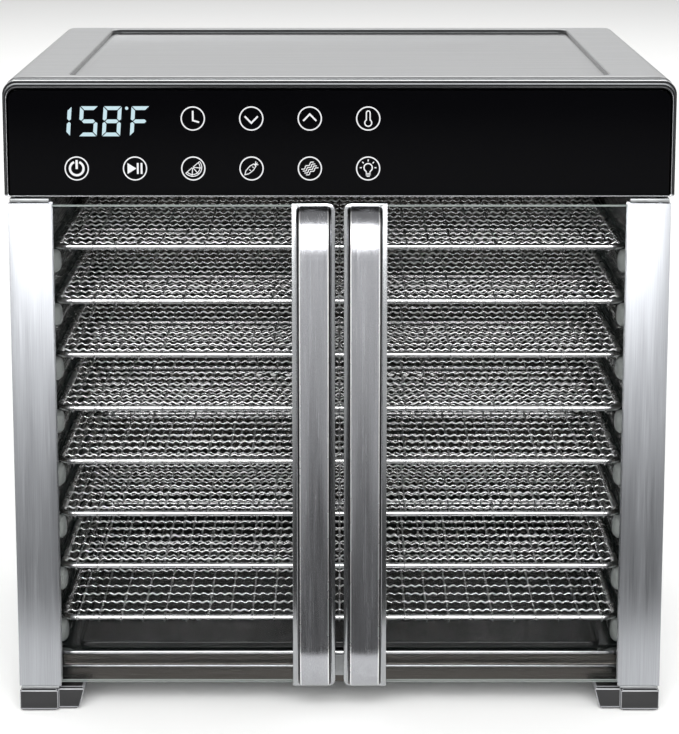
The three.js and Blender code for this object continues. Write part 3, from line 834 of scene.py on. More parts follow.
def applied(piece: bpy.types.Object) -> bpy.types.Object:
    """Turns a piece's modifiers into plain mesh.

    Args:
        piece: an object with modifiers.

    Returns:
        The same object, with none left.
    """
    view = bpy.context.evaluated_depsgraph_get()
    mesh = bpy.data.meshes.new_from_object(piece.evaluated_get(view), depsgraph=view)
    mesh.name = piece.name
    piece.modifiers.clear()
    piece.data = mesh
    return piece


# ---- Marks on the fascia --------------------------------------------------------------------


class Mark(Enum):
    """The touch marks, by what they do."""

    CLOCK = "timer"
    LOWER = "lower"
    RAISE = "raise"
    HEAT = "temperature"
    POWER = "power"
    START = "start_pause"
    FRUIT = "fruit"
    ROOTS = "vegetable"
    MEAT = "jerky"
    LAMP = "lamp"


class Print:
    """Thin flat marks in front of the fascia, drawn in x and z millimetres."""

    def __init__(self, surface_y: float, thickness: float = 0.05) -> None:
        """Starts a print whose back lies just in front of a surface."""
        self.builder = Builder()
        self.back = surface_y - 0.02
        self.front = self.back - thickness

    def stroke(self, points: Sequence[Flat], width: float, ring: bool = False) -> None:
        """Draws a line of even width through points.

        Args:
            points: the centre line.
            width: the line's width.
            ring: the line closes on itself.
        """
        count = len(points)
        loops = []
        for index, point in enumerate(points):
            here = Vector(point)
            before = Vector(points[index - 1]) if index or ring else here
            after = Vector(points[(index + 1) % count]) if index + 1 < count or ring else here
            into = (here - before).normalized() if before != here else (after - here).normalized()
            out = (after - here).normalized() if after != here else into
            along = (into + out).normalized()
            normal = Vector((-along.y, along.x)) * (width / 2 / max(0.5, along.dot(into)))
            left, right = here + normal, here - normal
            loops.append(
                [
                    (left.x, self.front, left.y),
                    (right.x, self.front, right.y),
                    (right.x, self.back, right.y),
                    (left.x, self.back, left.y),
                ]
            )
        self.builder.loft(loops, ring=ring)

    def fill(self, outline: Sequence[Flat]) -> None:
        """Draws a filled shape."""
        self.builder.loft([[(x, y, z) for x, z in outline] for y in (self.front, self.back)])

    def arc(
        self, centre: Flat, radius: float, width: float, sweep: Flat = (0, 360), steps: int = 40
    ) -> None:
        """Draws a circle or part of one.

        Args:
            centre: its middle.
            radius: its radius at the line's middle.
            width: the line's width.
            sweep: first and last angle in degrees, counter-clockwise from +x.
            steps: its segments.
        """
        whole = sweep[1] - sweep[0] >= 360
        count = steps if whole else steps + 1
        turns = [math.radians(sweep[0] + (sweep[1] - sweep[0]) * step / steps) for step in range(count)]
        points = [(centre[0] + radius * math.cos(t), centre[1] + radius * math.sin(t)) for t in turns]
        self.stroke(points, width, ring=whole)

    def dot(self, centre: Flat, radius: float) -> None:
        """Draws a small filled circle."""
        turns = [math.radians(30 * step) for step in range(12)]
        self.fill([(centre[0] + radius * math.cos(t), centre[1] + radius * math.sin(t)) for t in turns])

    def make(self, name: str, material: bpy.types.Material) -> bpy.types.Object:
        """Makes the print an object."""
        return self.builder.make(name, [material])


@dataclass
class FasciaMarks:
    """Ten ringed touch marks and the lit temperature display."""

    palette: Palette
    pitch: float = 29.5
    first_x: float = -133.0
    upper_z: float = 313.8
    lower_z: float = 288.4
    ring: float = 5.85
    line: float = 0.62
    bold: float = 0.85
    upper: tuple[Mark, ...] = (Mark.CLOCK, Mark.LOWER, Mark.RAISE, Mark.HEAT)
    lower: tuple[Mark, ...] = (Mark.POWER, Mark.START, Mark.FRUIT, Mark.ROOTS, Mark.MEAT, Mark.LAMP)

    def build(self) -> None:
        """Prints the marks and lights the display."""
        surface = box_of("control_fascia").low.y
        rows = ((self.upper, self.upper_z, 2), (self.lower, self.lower_z, 0))
        for marks, z, skipped in rows:
            for number, mark in enumerate(marks):
                ink = Print(surface)
                centre = Vector((self.first_x + (number + skipped) * self.pitch, z))
                ink.arc(tuple(centre), self.ring, self.line)
                self.draw(mark, ink, centre)
                piece = ink.make(f"touch_mark_{mark.value}", self.palette.ink)
                install(piece, "cabinet", "fascia_glass")
        SegmentDisplay(self.palette).build(surface)

    def draw(self, mark: Mark, ink: Print, centre: Vector) -> None:
        """Draws what is inside one ring.

        Args:
            mark: which mark.
            ink: the print that takes it.
            centre: the ring's middle.
        """

        def at(*points: Flat) -> list[Flat]:
            """Moves points from the ring's middle to their place."""
            return [(centre.x + x, centre.y + z) for x, z in points]

        if mark is Mark.CLOCK:
            ink.stroke(at((0, 3.9), (0, -1.0), (3.2, -1.9)), self.bold)
        elif mark is Mark.LOWER:
            ink.stroke(at((-3.3, 1.1), (0, -2.3), (3.3, 1.1)), self.bold)
        elif mark is Mark.RAISE:
            ink.stroke(at((-3.3, -1.2), (0, 2.2), (3.3, -1.2)), self.bold)
        elif mark is Mark.HEAT:
            self.thermometer(ink, at)
        elif mark is Mark.POWER:
            ink.arc(at((0, 0))[0], 3.45, 1.15, (112, 428))
            ink.stroke(at((0, 4.3), (0, -0.3)), 1.2)
        elif mark is Mark.START:
            ink.fill(at((-3.8, 2.8), (-3.8, -2.8), (0.7, 0)))
            for x in (1.4, 3.3):
                ink.stroke(at((x, 2.8), (x, -2.8)), 0.95)
        elif mark is Mark.FRUIT:
            self.citrus(ink, centre)
        elif mark is Mark.ROOTS:
            self.carrot(ink, centre)
        elif mark is Mark.MEAT:
            self.strips(ink, centre)
        else:
            self.bulb(ink, at)

    def thermometer(self, ink: Print, at: Callable[..., list[Flat]]) -> None:
        """Bulb and tube in outline."""
        half, bulb, centre_z = 0.95, 1.75, -2.2
        turns = [math.radians(57 - 294 * step / 20) for step in range(21)]
        outline = [(bulb * math.cos(t), centre_z + bulb * math.sin(t)) for t in turns]
        dome = [math.radians(180 - 30 * step) for step in range(7)]
        outline += [(half * math.cos(t), 2.9 + half * math.sin(t)) for t in dome]
        ink.stroke(at(*outline), 0.6, ring=True)

    def citrus(self, ink: Print, centre: Vector) -> None:
        """Half a citrus slice with its wedges."""
        tilt = math.radians(40)
        hub = centre + Vector((-0.3, 0.6))

        def turned(radius: float, degrees: float) -> Flat:
            """Gives a point of the tilted slice."""
            angle = math.radians(degrees) + tilt
            return (hub.x + radius * math.cos(angle), hub.y + radius * math.sin(angle))

        for radius in (4.6, 3.7):
            ink.stroke([turned(radius, -180 + 9 * step) for step in range(21)], 0.42)
        for degrees in (-180, -135, -90, -45, 0):
            ink.stroke([turned(0.3, degrees), turned(4.6, degrees)], 0.42)

    def carrot(self, ink: Print, centre: Vector) -> None:
        """A tapering root with a tuft of leaf."""
        upper = [(-3.4, -3.2), (-2.9, -1.2), (-0.9, 1.2), (1.2, 2.3)]
        lower = [(2.2, 1.2), (1.0, -0.8), (-1.4, -2.7)]
        ink.stroke([(centre.x + x, centre.y + z) for x, z in upper + lower], 0.45, ring=True)
        for x, z in ((2.2, 3.6), (3.0, 2.9), (3.4, 2.0)):
            ink.stroke([(centre.x + 1.8, centre.y + 1.8), (centre.x + x, centre.y + z)], 0.42)
        for x, z in ((-1.2, -0.6), (0.3, 0.9)):
            ink.stroke([(centre.x + x, centre.y + z), (centre.x + x + 0.9, centre.y + z - 0.5)], 0.36)

    def strips(self, ink: Print, centre: Vector) -> None:
        """Three wavy strips of dried meat."""
        across = Vector((0.62, -0.78))
        along = Vector((0.8, 0.6))
        for strip in range(4):
            line = []
            for step in range(13):
                run = -3.6 + 0.6 * step
                sway = 0.45 * math.sin(run * 2.1) + (strip - 1.5) * 1.25
                point = centre + along * run + across * sway
                line.append((point.x, point.y))
            ink.stroke(line, 0.45)

    def bulb(self, ink: Print, at: Callable[..., list[Flat]]) -> None:
        """A lamp with five rays."""
        ink.arc(at((0, 0.4))[0], 2.1, 0.62, (-60, 240))
        ink.stroke(at((-0.95, -1.4), (-0.95, -2.2)), 0.55)
        ink.stroke(at((0.95, -1.4), (0.95, -2.2)), 0.55)
        for z, half in ((-2.6, 1.2), (-3.3, 1.2), (-4.0, 0.8)):
            ink.stroke(at((-half, z), (half, z)), 0.42)
        for degrees in (0, 45, 90, 135, 180):
            ray = Vector((math.cos(math.radians(degrees)), math.sin(math.radians(degrees))))
            ends = [(ray.x * reach, 0.4 + ray.y * reach) for reach in (3.2, 4.2)]
            ink.stroke(at(*ends), 0.55)


@dataclass
class SegmentDisplay:
    """Slanted seven-segment figures that show 158 degrees."""

    palette: Palette
    left: float = -138.3
    foot_z: float = 304.8
    height: float = 15.2
    width: float = 9.2
    bar: float = 1.9
    slant: float = 4.2
    gap: float = 0.34
    figures: tuple[tuple[str, float], ...] = (("1", -7.0), ("5", 6.5), ("8", 18.3), ("F", 32.4))
    lit: dict[str, str] = field(
        default_factory=lambda: {"1": "bc", "5": "afgcd", "8": "abcdefg", "F": "aefg"}
    )

    def build(self, surface: float) -> None:
        """Builds all lit segments as one piece.

        Args:
            surface: the y of the fascia's face.
        """
        ink = Print(surface)
        for figure, x in self.figures:
            for segment in self.lit[figure]:
                ink.fill([self.slanted(px + x, pz) for px, pz in self.outline(segment)])
        ink.dot(self.slanted(30.0, self.height - 1.0), 0.85)
        piece = ink.make("display_figures", self.palette.digits)
        install(piece, "cabinet", "fascia_glass")

    def slanted(self, x: float, z: float) -> Flat:
        """Leans a point of the figures to the right."""
        return (self.left + x + z * math.tan(math.radians(self.slant)), self.foot_z + z)

    def outline(self, segment: str) -> list[Flat]:
        """The corners of one segment of an upright figure.

        Args:
            segment: a to g, as segments are usually lettered.

        Returns:
            Its corners.
        """
        w, h, t, g = self.width, self.height, self.bar, self.gap
        middle, half = h / 2, t / 2
        bars = {
            "a": [(g, h), (w - g, h), (w - g - t, h - t), (g + t, h - t)],
            "d": [(g, 0), (w - g, 0), (w - g - t, t), (g + t, t)],
            "g": [
                (g + half, middle),
                (g + t, middle + half),
                (w - g - t, middle + half),
                (w - g - half, middle),
                (w - g - t, middle - half),
                (g + t, middle - half),
            ],
        }
        if segment in bars:
            return bars[segment]
        upper = [(0, h - g), (t, h - t - g), (t, middle + half + g), (half, middle + g), (0, middle + half)]
        if segment in "cb":
            upper = [(w - x, z) for x, z in upper]
        if segment in "ce":
            upper = [(x, h - z) for x, z in upper]
        return upper


# ---- Geometry node trees --------------------------------------------------------------------


class Socket(Enum):
    """The kinds of named inputs that the trees take."""

    LENGTH = "NodeSocketFloat"
    COUNT = "NodeSocketInt"
    VECTOR = "NodeSocketVector"


def new_tree(name: str, inputs: dict[str, Socket]) -> tuple[bpy.types.NodeTree, bpy.types.Node]:
    """Starts a geometry node tree.

    Args:
        name: the tree's name.
        inputs: input names and kinds, after the geometry.

    Returns:
        The tree and its input node.
    """
    tree = bpy.data.node_groups.new(name, "GeometryNodeTree")
    tree.interface.new_socket(name="Geometry", in_out="INPUT", socket_type="NodeSocketGeometry")
    for label, kind in inputs.items():
        tree.interface.new_socket(name=label, in_out="INPUT", socket_type=kind.value)
    tree.interface.new_socket(name="Geometry", in_out="OUTPUT", socket_type="NodeSocketGeometry")
    return tree, add_node(tree, "NodeGroupInput")


def close_tree(
    tree: bpy.types.NodeTree, shape: bpy.types.NodeSocket, material: bpy.types.Material
) -> None:
    """Ends a tree with real geometry and its material.

    Args:
        tree: the tree.
        shape: the geometry to put out.
        material: its finish.
    """
    real = add_node(tree, "GeometryNodeRealizeInstances", {0: shape})
    dressed = add_node(tree, "GeometryNodeSetMaterial", {"Geometry": real.outputs[0], "Material": material})
    add_node(tree, "NodeGroupOutput", {0: dressed.outputs[0]})


def grow(
    name: str, tree: bpy.types.NodeTree, values: dict[str, object], points: Iterable[Point] = ()
) -> bpy.types.Mesh:
    """Runs a tree and keeps the result as a plain mesh.

    Args:
        name: the new mesh's name.
        tree: the geometry node tree.
        values: input names and values, in metres.
        points: points in millimetres that the tree starts from.

    Returns:
        The mesh.
    """
    seed = bpy.data.meshes.new(name + "_points")
    seed.from_pydata([Vector(p) * MM for p in points], [], [])
    holder = linked(name + "_holder", seed)
    run = holder.modifiers.new("grow", "NODES")
    run.node_group = tree
    for item in tree.interface.items_tree:
        if item.in_out == "INPUT" and item.name in values:
            run[item.identifier] = values[item.name]
    view = bpy.context.evaluated_depsgraph_get()
    mesh = bpy.data.meshes.new_from_object(holder.evaluated_get(view), depsgraph=view)
    mesh.name = name
    bpy.data.objects.remove(holder)
    return mesh


@dataclass
class WovenMesh:
    """Crimped mesh: two families of wires, each passing over and under the other.

    The Across wires run from side to side and the Back wires from front to back. Both lie
    on one wave that changes sides at every crossing.
    """

    width: float
    depth: float
    pitch: float = 11.6
    row_pitch: float = 14.6
    wire: float = 0.52
    crimp: float = 0.52
    crimps_per_cell: float = 2.5
    samples_per_crimp: int = 6
    across_sides: int = 5
    back_sides: int = 4
    hoop_steps: int = 10

    def tree(self, material: bpy.types.Material) -> bpy.types.NodeTree:
        """Builds the node tree.

        Args:
            material: the wires' finish.

        Returns:
            The tree.
        """
        inputs = {"Wire Radius": Socket.LENGTH, "Hoop Radius": Socket.LENGTH, "Corner": Socket.VECTOR}
        for family in ("Across", "Back"):
            for name in ("Start", "End", "First", "Step", "Wave"):
                inputs[f"{family} {name}"] = Socket.VECTOR
            inputs |= {f"{family} Count": Socket.COUNT, f"{family} Samples": Socket.COUNT}
            inputs[f"{family} Crimp"] = Socket.LENGTH
        tree, start = new_tree("woven_mesh", inputs)
        given = start.outputs
        across = self.wires(tree, given, "Across", self.across_sides)
        back = self.wires(tree, given, "Back", self.back_sides)
        joined = add_node(tree, "GeometryNodeJoinGeometry")
        for part in (self.hoops(tree, given), back, across):
            tree.links.new(part, joined.inputs[0])
        close_tree(tree, joined.outputs[0], material)
        return tree

    def wires(
        self, tree: bpy.types.NodeTree, given: bpy.types.NodeOutputs, family: str, sides: int
    ) -> bpy.types.NodeSocket:
        """Adds the wires that run one way.

        Args:
            tree: the tree.
            given: its inputs.
            family: Across or Back.
            sides: the sides of the wires' section.

        Returns:
            The wires' geometry.
        """
        ends = {end: given[f"{family} {end}"] for end in ("Start", "End")}
        line = add_node(tree, "GeometryNodeCurvePrimitiveLine", ends)
        fine = add_node(
            tree,
            "GeometryNodeResampleCurve",
            {"Curve": line.outputs[0], "Count": given[f"{family} Samples"]},
        )
        row = self.row(tree, given, family, given[f"{family} First"], fine.outputs[0])
        real = add_node(tree, "GeometryNodeRealizeInstances", {0: row})
        here = add_node(tree, "GeometryNodeInputPosition").outputs[0]
        run = add_node(tree, "ShaderNodeVectorMath", {0: here, 1: given["Corner"]}, operation="SUBTRACT")
        phase = add_node(
            tree,
            "ShaderNodeVectorMath",
            {0: run.outputs[0], 1: given[f"{family} Wave"]},
            operation="DOT_PRODUCT",
        )
        swing = add_node(tree, "ShaderNodeMath", {0: phase.outputs["Value"]}, operation="COSINE")
        rise = add_node(
            tree,
            "ShaderNodeMath",
            {0: swing.outputs[0], 1: given[f"{family} Crimp"]},
            operation="MULTIPLY",
        )
        lift = add_node(tree, "ShaderNodeCombineXYZ", {"Z": rise.outputs[0]})
        waved = add_node(
            tree, "GeometryNodeSetPosition", {"Geometry": real.outputs[0], "Offset": lift.outputs[0]}
        )
        return self.swept(tree, given, waved.outputs[0], sides)

    def hoops(self, tree: bpy.types.NodeTree, given: bpy.types.NodeOutputs) -> bpy.types.NodeSocket:
        """Adds the turn that each Back wire takes round the frame wire, at both its ends."""
        turn = add_node(
            tree,
            "GeometryNodeCurvePrimitiveCircle",
            {"Resolution": self.hoop_steps, "Radius": given["Hoop Radius"]},
        )
        hoop = self.swept(tree, given, turn.outputs[0], self.across_sides)
        joined = add_node(tree, "GeometryNodeJoinGeometry")
        for end in ("Start", "End"):
            first = add_node(
                tree,
                "ShaderNodeVectorMath",
                {0: given["Back First"], 1: given[f"Back {end}"]},
                operation="ADD",
            )
            row = self.row(tree, given, "Back", first.outputs[0], hoop, (0.0, math.pi / 2, 0.0))
            tree.links.new(row, joined.inputs[0])
        return joined.outputs[0]

    def row(
        self,
        tree: bpy.types.NodeTree,
        given: bpy.types.NodeOutputs,
        family: str,
        first: bpy.types.NodeSocket,
        shape: bpy.types.NodeSocket,
        turn: Point = (0.0, 0.0, 0.0),
    ) -> bpy.types.NodeSocket:
        """Sets a shape out once for every wire of a family.

        Args:
            tree: the tree.
            given: its inputs.
            family: Across or Back.
            first: the place of the first copy.
            shape: what is copied.
            turn: how each copy is turned.

        Returns:
            The copies.
        """
        places = add_node(
            tree,
            "GeometryNodeMeshLine",
            {"Count": given[f"{family} Count"], "Start Location": first, "Offset": given[f"{family} Step"]},
        )
        copies = add_node(
            tree,
            "GeometryNodeInstanceOnPoints",
            {"Points": places.outputs[0], "Instance": shape, "Rotation": turn},
        )
        return copies.outputs[0]

    def swept(
        self,
        tree: bpy.types.NodeTree,
        given: bpy.types.NodeOutputs,
        path: bpy.types.NodeSocket,
        sides: int,
    ) -> bpy.types.NodeSocket:
        """Gives a path the wire's thickness, with closed ends."""
        section = add_node(
            tree,
            "GeometryNodeCurvePrimitiveCircle",
            {"Resolution": sides, "Radius": given["Wire Radius"]},
        )
        wire = add_node(
            tree,
            "GeometryNodeCurveToMesh",
            {"Curve": path, "Profile Curve": section.outputs[0], "Fill Caps": True},
        )
        return wire.outputs[0]

    def mesh(self, frame_radius: float, material: bpy.types.Material) -> bpy.types.Mesh:
        """Grows the mesh round its own middle.

        Args:
            frame_radius: the radius of the tray's frame wire.
            material: the wires' finish.

        Returns:
            The mesh, in metres.
        """
        columns, rows = int(self.width / self.pitch), int(self.depth / self.row_pitch)
        corner_x, corner_y = (1 - columns) / 2 * self.pitch * MM, (1 - rows) / 2 * self.row_pitch * MM
        half_x, half_y = self.width / 2 * MM, self.depth / 2 * MM
        turn_x, turn_y = math.pi / (self.pitch * MM), math.pi / (self.row_pitch * MM)
        crimps = 2 * self.crimps_per_cell
        samples = self.samples_per_crimp * self.crimps_per_cell
        values = {
            "Wire Radius": self.wire * MM,
            "Hoop Radius": (frame_radius + self.wire) * MM,
            "Corner": (corner_x, corner_y, 0.0),
            "Across Start": (-half_x, 0.0, 0.0),
            "Across End": (half_x, 0.0, 0.0),
            "Across First": (0.0, corner_y, 0.0),
            "Across Step": (0.0, self.row_pitch * MM, 0.0),
            "Across Wave": (turn_x * crimps, turn_y, 0.0),
            "Across Count": rows,
            "Across Samples": int(self.width / self.pitch * samples),
            "Across Crimp": self.crimp * MM,
            "Back Start": (0.0, -half_y, 0.0),
            "Back End": (0.0, half_y, 0.0),
            "Back First": (corner_x, 0.0, 0.0),
            "Back Step": (self.pitch * MM, 0.0, 0.0),
            "Back Wave": (turn_x, turn_y * crimps, 0.0),
            "Back Count": columns,
            "Back Samples": int(self.depth / self.row_pitch * samples * 0.8),
            "Back Crimp": -self.crimp * MM,
        }
        return grow("woven_mesh", self.tree(material), values)


# ---- Trays ----------------------------------------------------------------------------------


@dataclass
class TrayStack:
    """Eight woven trays and the drip tray."""

    palette: Palette
    count: int = 8
    corner: float = 8.0
    sides: int = 12

    def build(self) -> None:
        """Builds every tray."""
        box = box_of("tray_1")
        radius = box.size.z / 2
        weave = WovenMesh(box.size.x - 2 * radius, box.size.y - 2 * radius)
        woven = weave.mesh(radius, self.palette.wire)
        rim = self.rim(box, radius)
        for number in range(1, self.count + 1):
            self.tray(number, woven, rim)
        self.drip_tray()

    def rim(self, box: Box, radius: float) -> bpy.types.Mesh:
        """Frame wire bent round the tray, about its own middle.

        Args:
            box: the tray's box.
            radius: the wire's radius.

        Returns:
            The wire's mesh.
        """
        half_x, half_y = box.size.x / 2 - radius, box.size.y / 2 - radius
        path = rounded_rect((-half_x, half_x), (-half_y, half_y), [self.corner - radius] * 4, 8)
        wire = Builder()
        wire.tube([(x, y, 0) for x, y in path], radius, self.sides, ring=True)
        piece = wire.make("tray_rim", [self.palette.wire])
        mesh = piece.data
        bpy.data.objects.remove(piece)
        return mesh

    def tray(self, number: int, woven: bpy.types.Mesh, rim: bpy.types.Mesh) -> None:
        """Joins one tray from the mesh and the rim, in its place.

        Args:
            number: the tray's number, from the bottom.
            woven: the woven mesh.
            rim: the frame wire.
        """
        node = f"tray_{number}"
        shape = bmesh.new()
        shape.from_mesh(woven)
        shape.from_mesh(rim)
        shape.transform(Matrix.Translation(box_of(node).middle * MM))
        mesh = bpy.data.meshes.new(f"{node}_rack")
        shape.to_mesh(mesh)
        shape.free()
        mesh.materials.append(self.palette.wire)
        for polygon in mesh.polygons:
            polygon.material_index = 0
            polygon.use_smooth = True
        install(linked(f"{node}_rack", mesh), node, "tray_wire", node)

    def drip_tray(self) -> None:
        """Pressed pan with a soft rim and a rounded floor."""
        box = box_of("drip_tray")
        low, high = box.low, box.high
        loops = []
        wall = 1.2
        section = [
            (1.2, 0.0),
            (0.5, 0.3),
            (0.15, 1.2),
            (0.0, 3.1),
            (0.05, 3.7),
            (0.35, 4.0),
            (wall - 0.3, 4.0),
            (wall, 3.7),
            (wall + 0.1, 2.6),
            (wall + 0.5, 1.7),
            (wall + 1.6, 1.25),
            (wall + 3.4, 1.2),
        ]
        for inset, rise in section:
            xs, ys = (low.x + inset, high.x - inset), (low.y + inset, high.y - inset)
            outline = rounded_rect(xs, ys, [max(6.0 - inset, 1.2)] * 4, 6)
            loops.append([(x, y, low.z + rise) for x, y in outline])
        pan = Builder()
        pan.loft(loops)
        piece = pan.make("drip_tray_pan", [self.palette.enamel], angle=50)
        install(piece, "drip_tray", "black_enamel", "drip_tray")


# ---- Doors ----------------------------------------------------------------------------------


@dataclass
class Door:
    """One glazed door with its stile, handle channel and grip."""

    palette: Palette
    side: str
    bend: float = 26.0
    bend_steps: int = 20
    heel: float = 8.0
    thickness: float = 5.0
    back_chamfer: float = 0.8
    edge: tuple[Flat, ...] = ((2.1, 0.0), (1.5, 0.25), (0.5, 0.9), (0.0, 1.6))

    def build(self) -> None:
        """Builds the door."""
        name, body = self.side, f"{self.side}_door"
        stile = refined(f"{name}_door_stile", f"{name}_stile_channel", self.palette.stile, 0.5)
        # The stile's rounded edges take the bright steel: a painted highlight along every edge.
        stile.data.materials.append(self.palette.bright)
        for face in stile.data.polygons:
            face.material_index = int(max(abs(c) for c in face.normal) < 0.95)
        install(stile, body, "door_steel", f"{name}_door_stile")
        trim = refined(f"{name}_door_trim", f"{name}_handle_channel", self.palette.trim, 0.6)
        install(trim, body, "polished_steel", f"{name}_door_trim")
        install(self.pane(), body, "door_glass", f"{name}_door_glass")
        install(self.grip(), body, "door_steel", f"{name}_door_grip")
        dress(f"{name}_door_magnet", self.palette.zinc)
        for place in ("upper", "lower"):
            dress(f"{name}_{place}_grip_screw", self.palette.zinc)

    def pane(self) -> bpy.types.Object:
        """Clear pane whose four edges are ground and catch the light."""
        box = box_of(f"{self.side}_door_glass")
        glass = Builder()
        glass.block(box.low, box.high)
        piece = glass.make(
            f"{self.side}_glass_pane", [self.palette.pane, self.palette.edge], bevel=0.5, bevel_steps=1
        )
        for polygon in piece.data.polygons:
            polygon.material_index = 0 if abs(polygon.normal.y) > 0.99 else 1
        return piece

    def grip(self) -> bpy.types.Object:
        """Flat bar with chamfered long edges, bent back to the door at both ends."""
        box = box_of(f"{self.side}_door_grip")
        reach, half = box.size.y, box.size.x / 2
        foot, middle = box.high.y, box.middle.x
        turns = [90 * step / self.bend_steps for step in range(self.bend_steps + 1)]
        stations = [(90 - turn, box.high.z - self.bend) for turn in turns]
        stations += [(-turn, box.low.z + self.bend) for turn in turns]
        loops = []
        for degrees, centre in stations:
            turn = math.radians(degrees)
            along, up = -math.cos(turn), math.sin(turn)
            outer = Vector((foot + reach * along, centre + self.bend * up))
            inner = Vector((foot + (reach - self.thickness) * along, centre + (self.bend - self.heel) * up))
            inward = inner - outer
            depth = inward.length
            rows = [(half - inset, drop / depth) for inset, drop in self.edge]
            rows += [(half, 1 - self.back_chamfer / depth), (half - self.back_chamfer, 1.0)]
            right = [(middle + x, *(outer + inward * share)) for x, share in rows]
            left = [(middle - x, *(outer + inward * share)) for x, share in reversed(rows)]
            loops.append(right + left)
        bar = Builder()
        count = len(loops[0])
        bar.loft(loops)
        # The second and third materials are the painted highlight and the painted shade along the grip's
        # edges.
        finishes = [self.palette.grip, self.palette.wire, self.palette.groove]
        piece = bar.make(f"{self.side}_grip_bar", finishes, angle=25)
        self.dress_edges(piece.data, middle, half, count)
        return piece

    def dress_edges(self, mesh: bpy.types.Mesh, middle: float, half: float, count: int) -> None:
        """Paints a highlight in near-white steel on the line beside the brushed flat, and paints shade in
        near-black steel on the chamfer outside it.

        Args:
            mesh: the grip's mesh.
            middle: the x of its middle line, in millimetres.
            half: half of its width.
            count: corners of the section.
        """
        bright, dark = (self.edge[index][0] for index in (1, 2))
        for polygon in mesh.polygons:
            inset = half - abs(polygon.center.x / MM - middle)
            if len(polygon.vertices) == count or abs(polygon.normal.x) > 0.95:
                continue
            if bright < inset < self.edge[0][0]:
                polygon.material_index = 1
            elif dark < inset < bright:
                polygon.material_index = 2


# ---- Cabinet --------------------------------------------------------------------------------


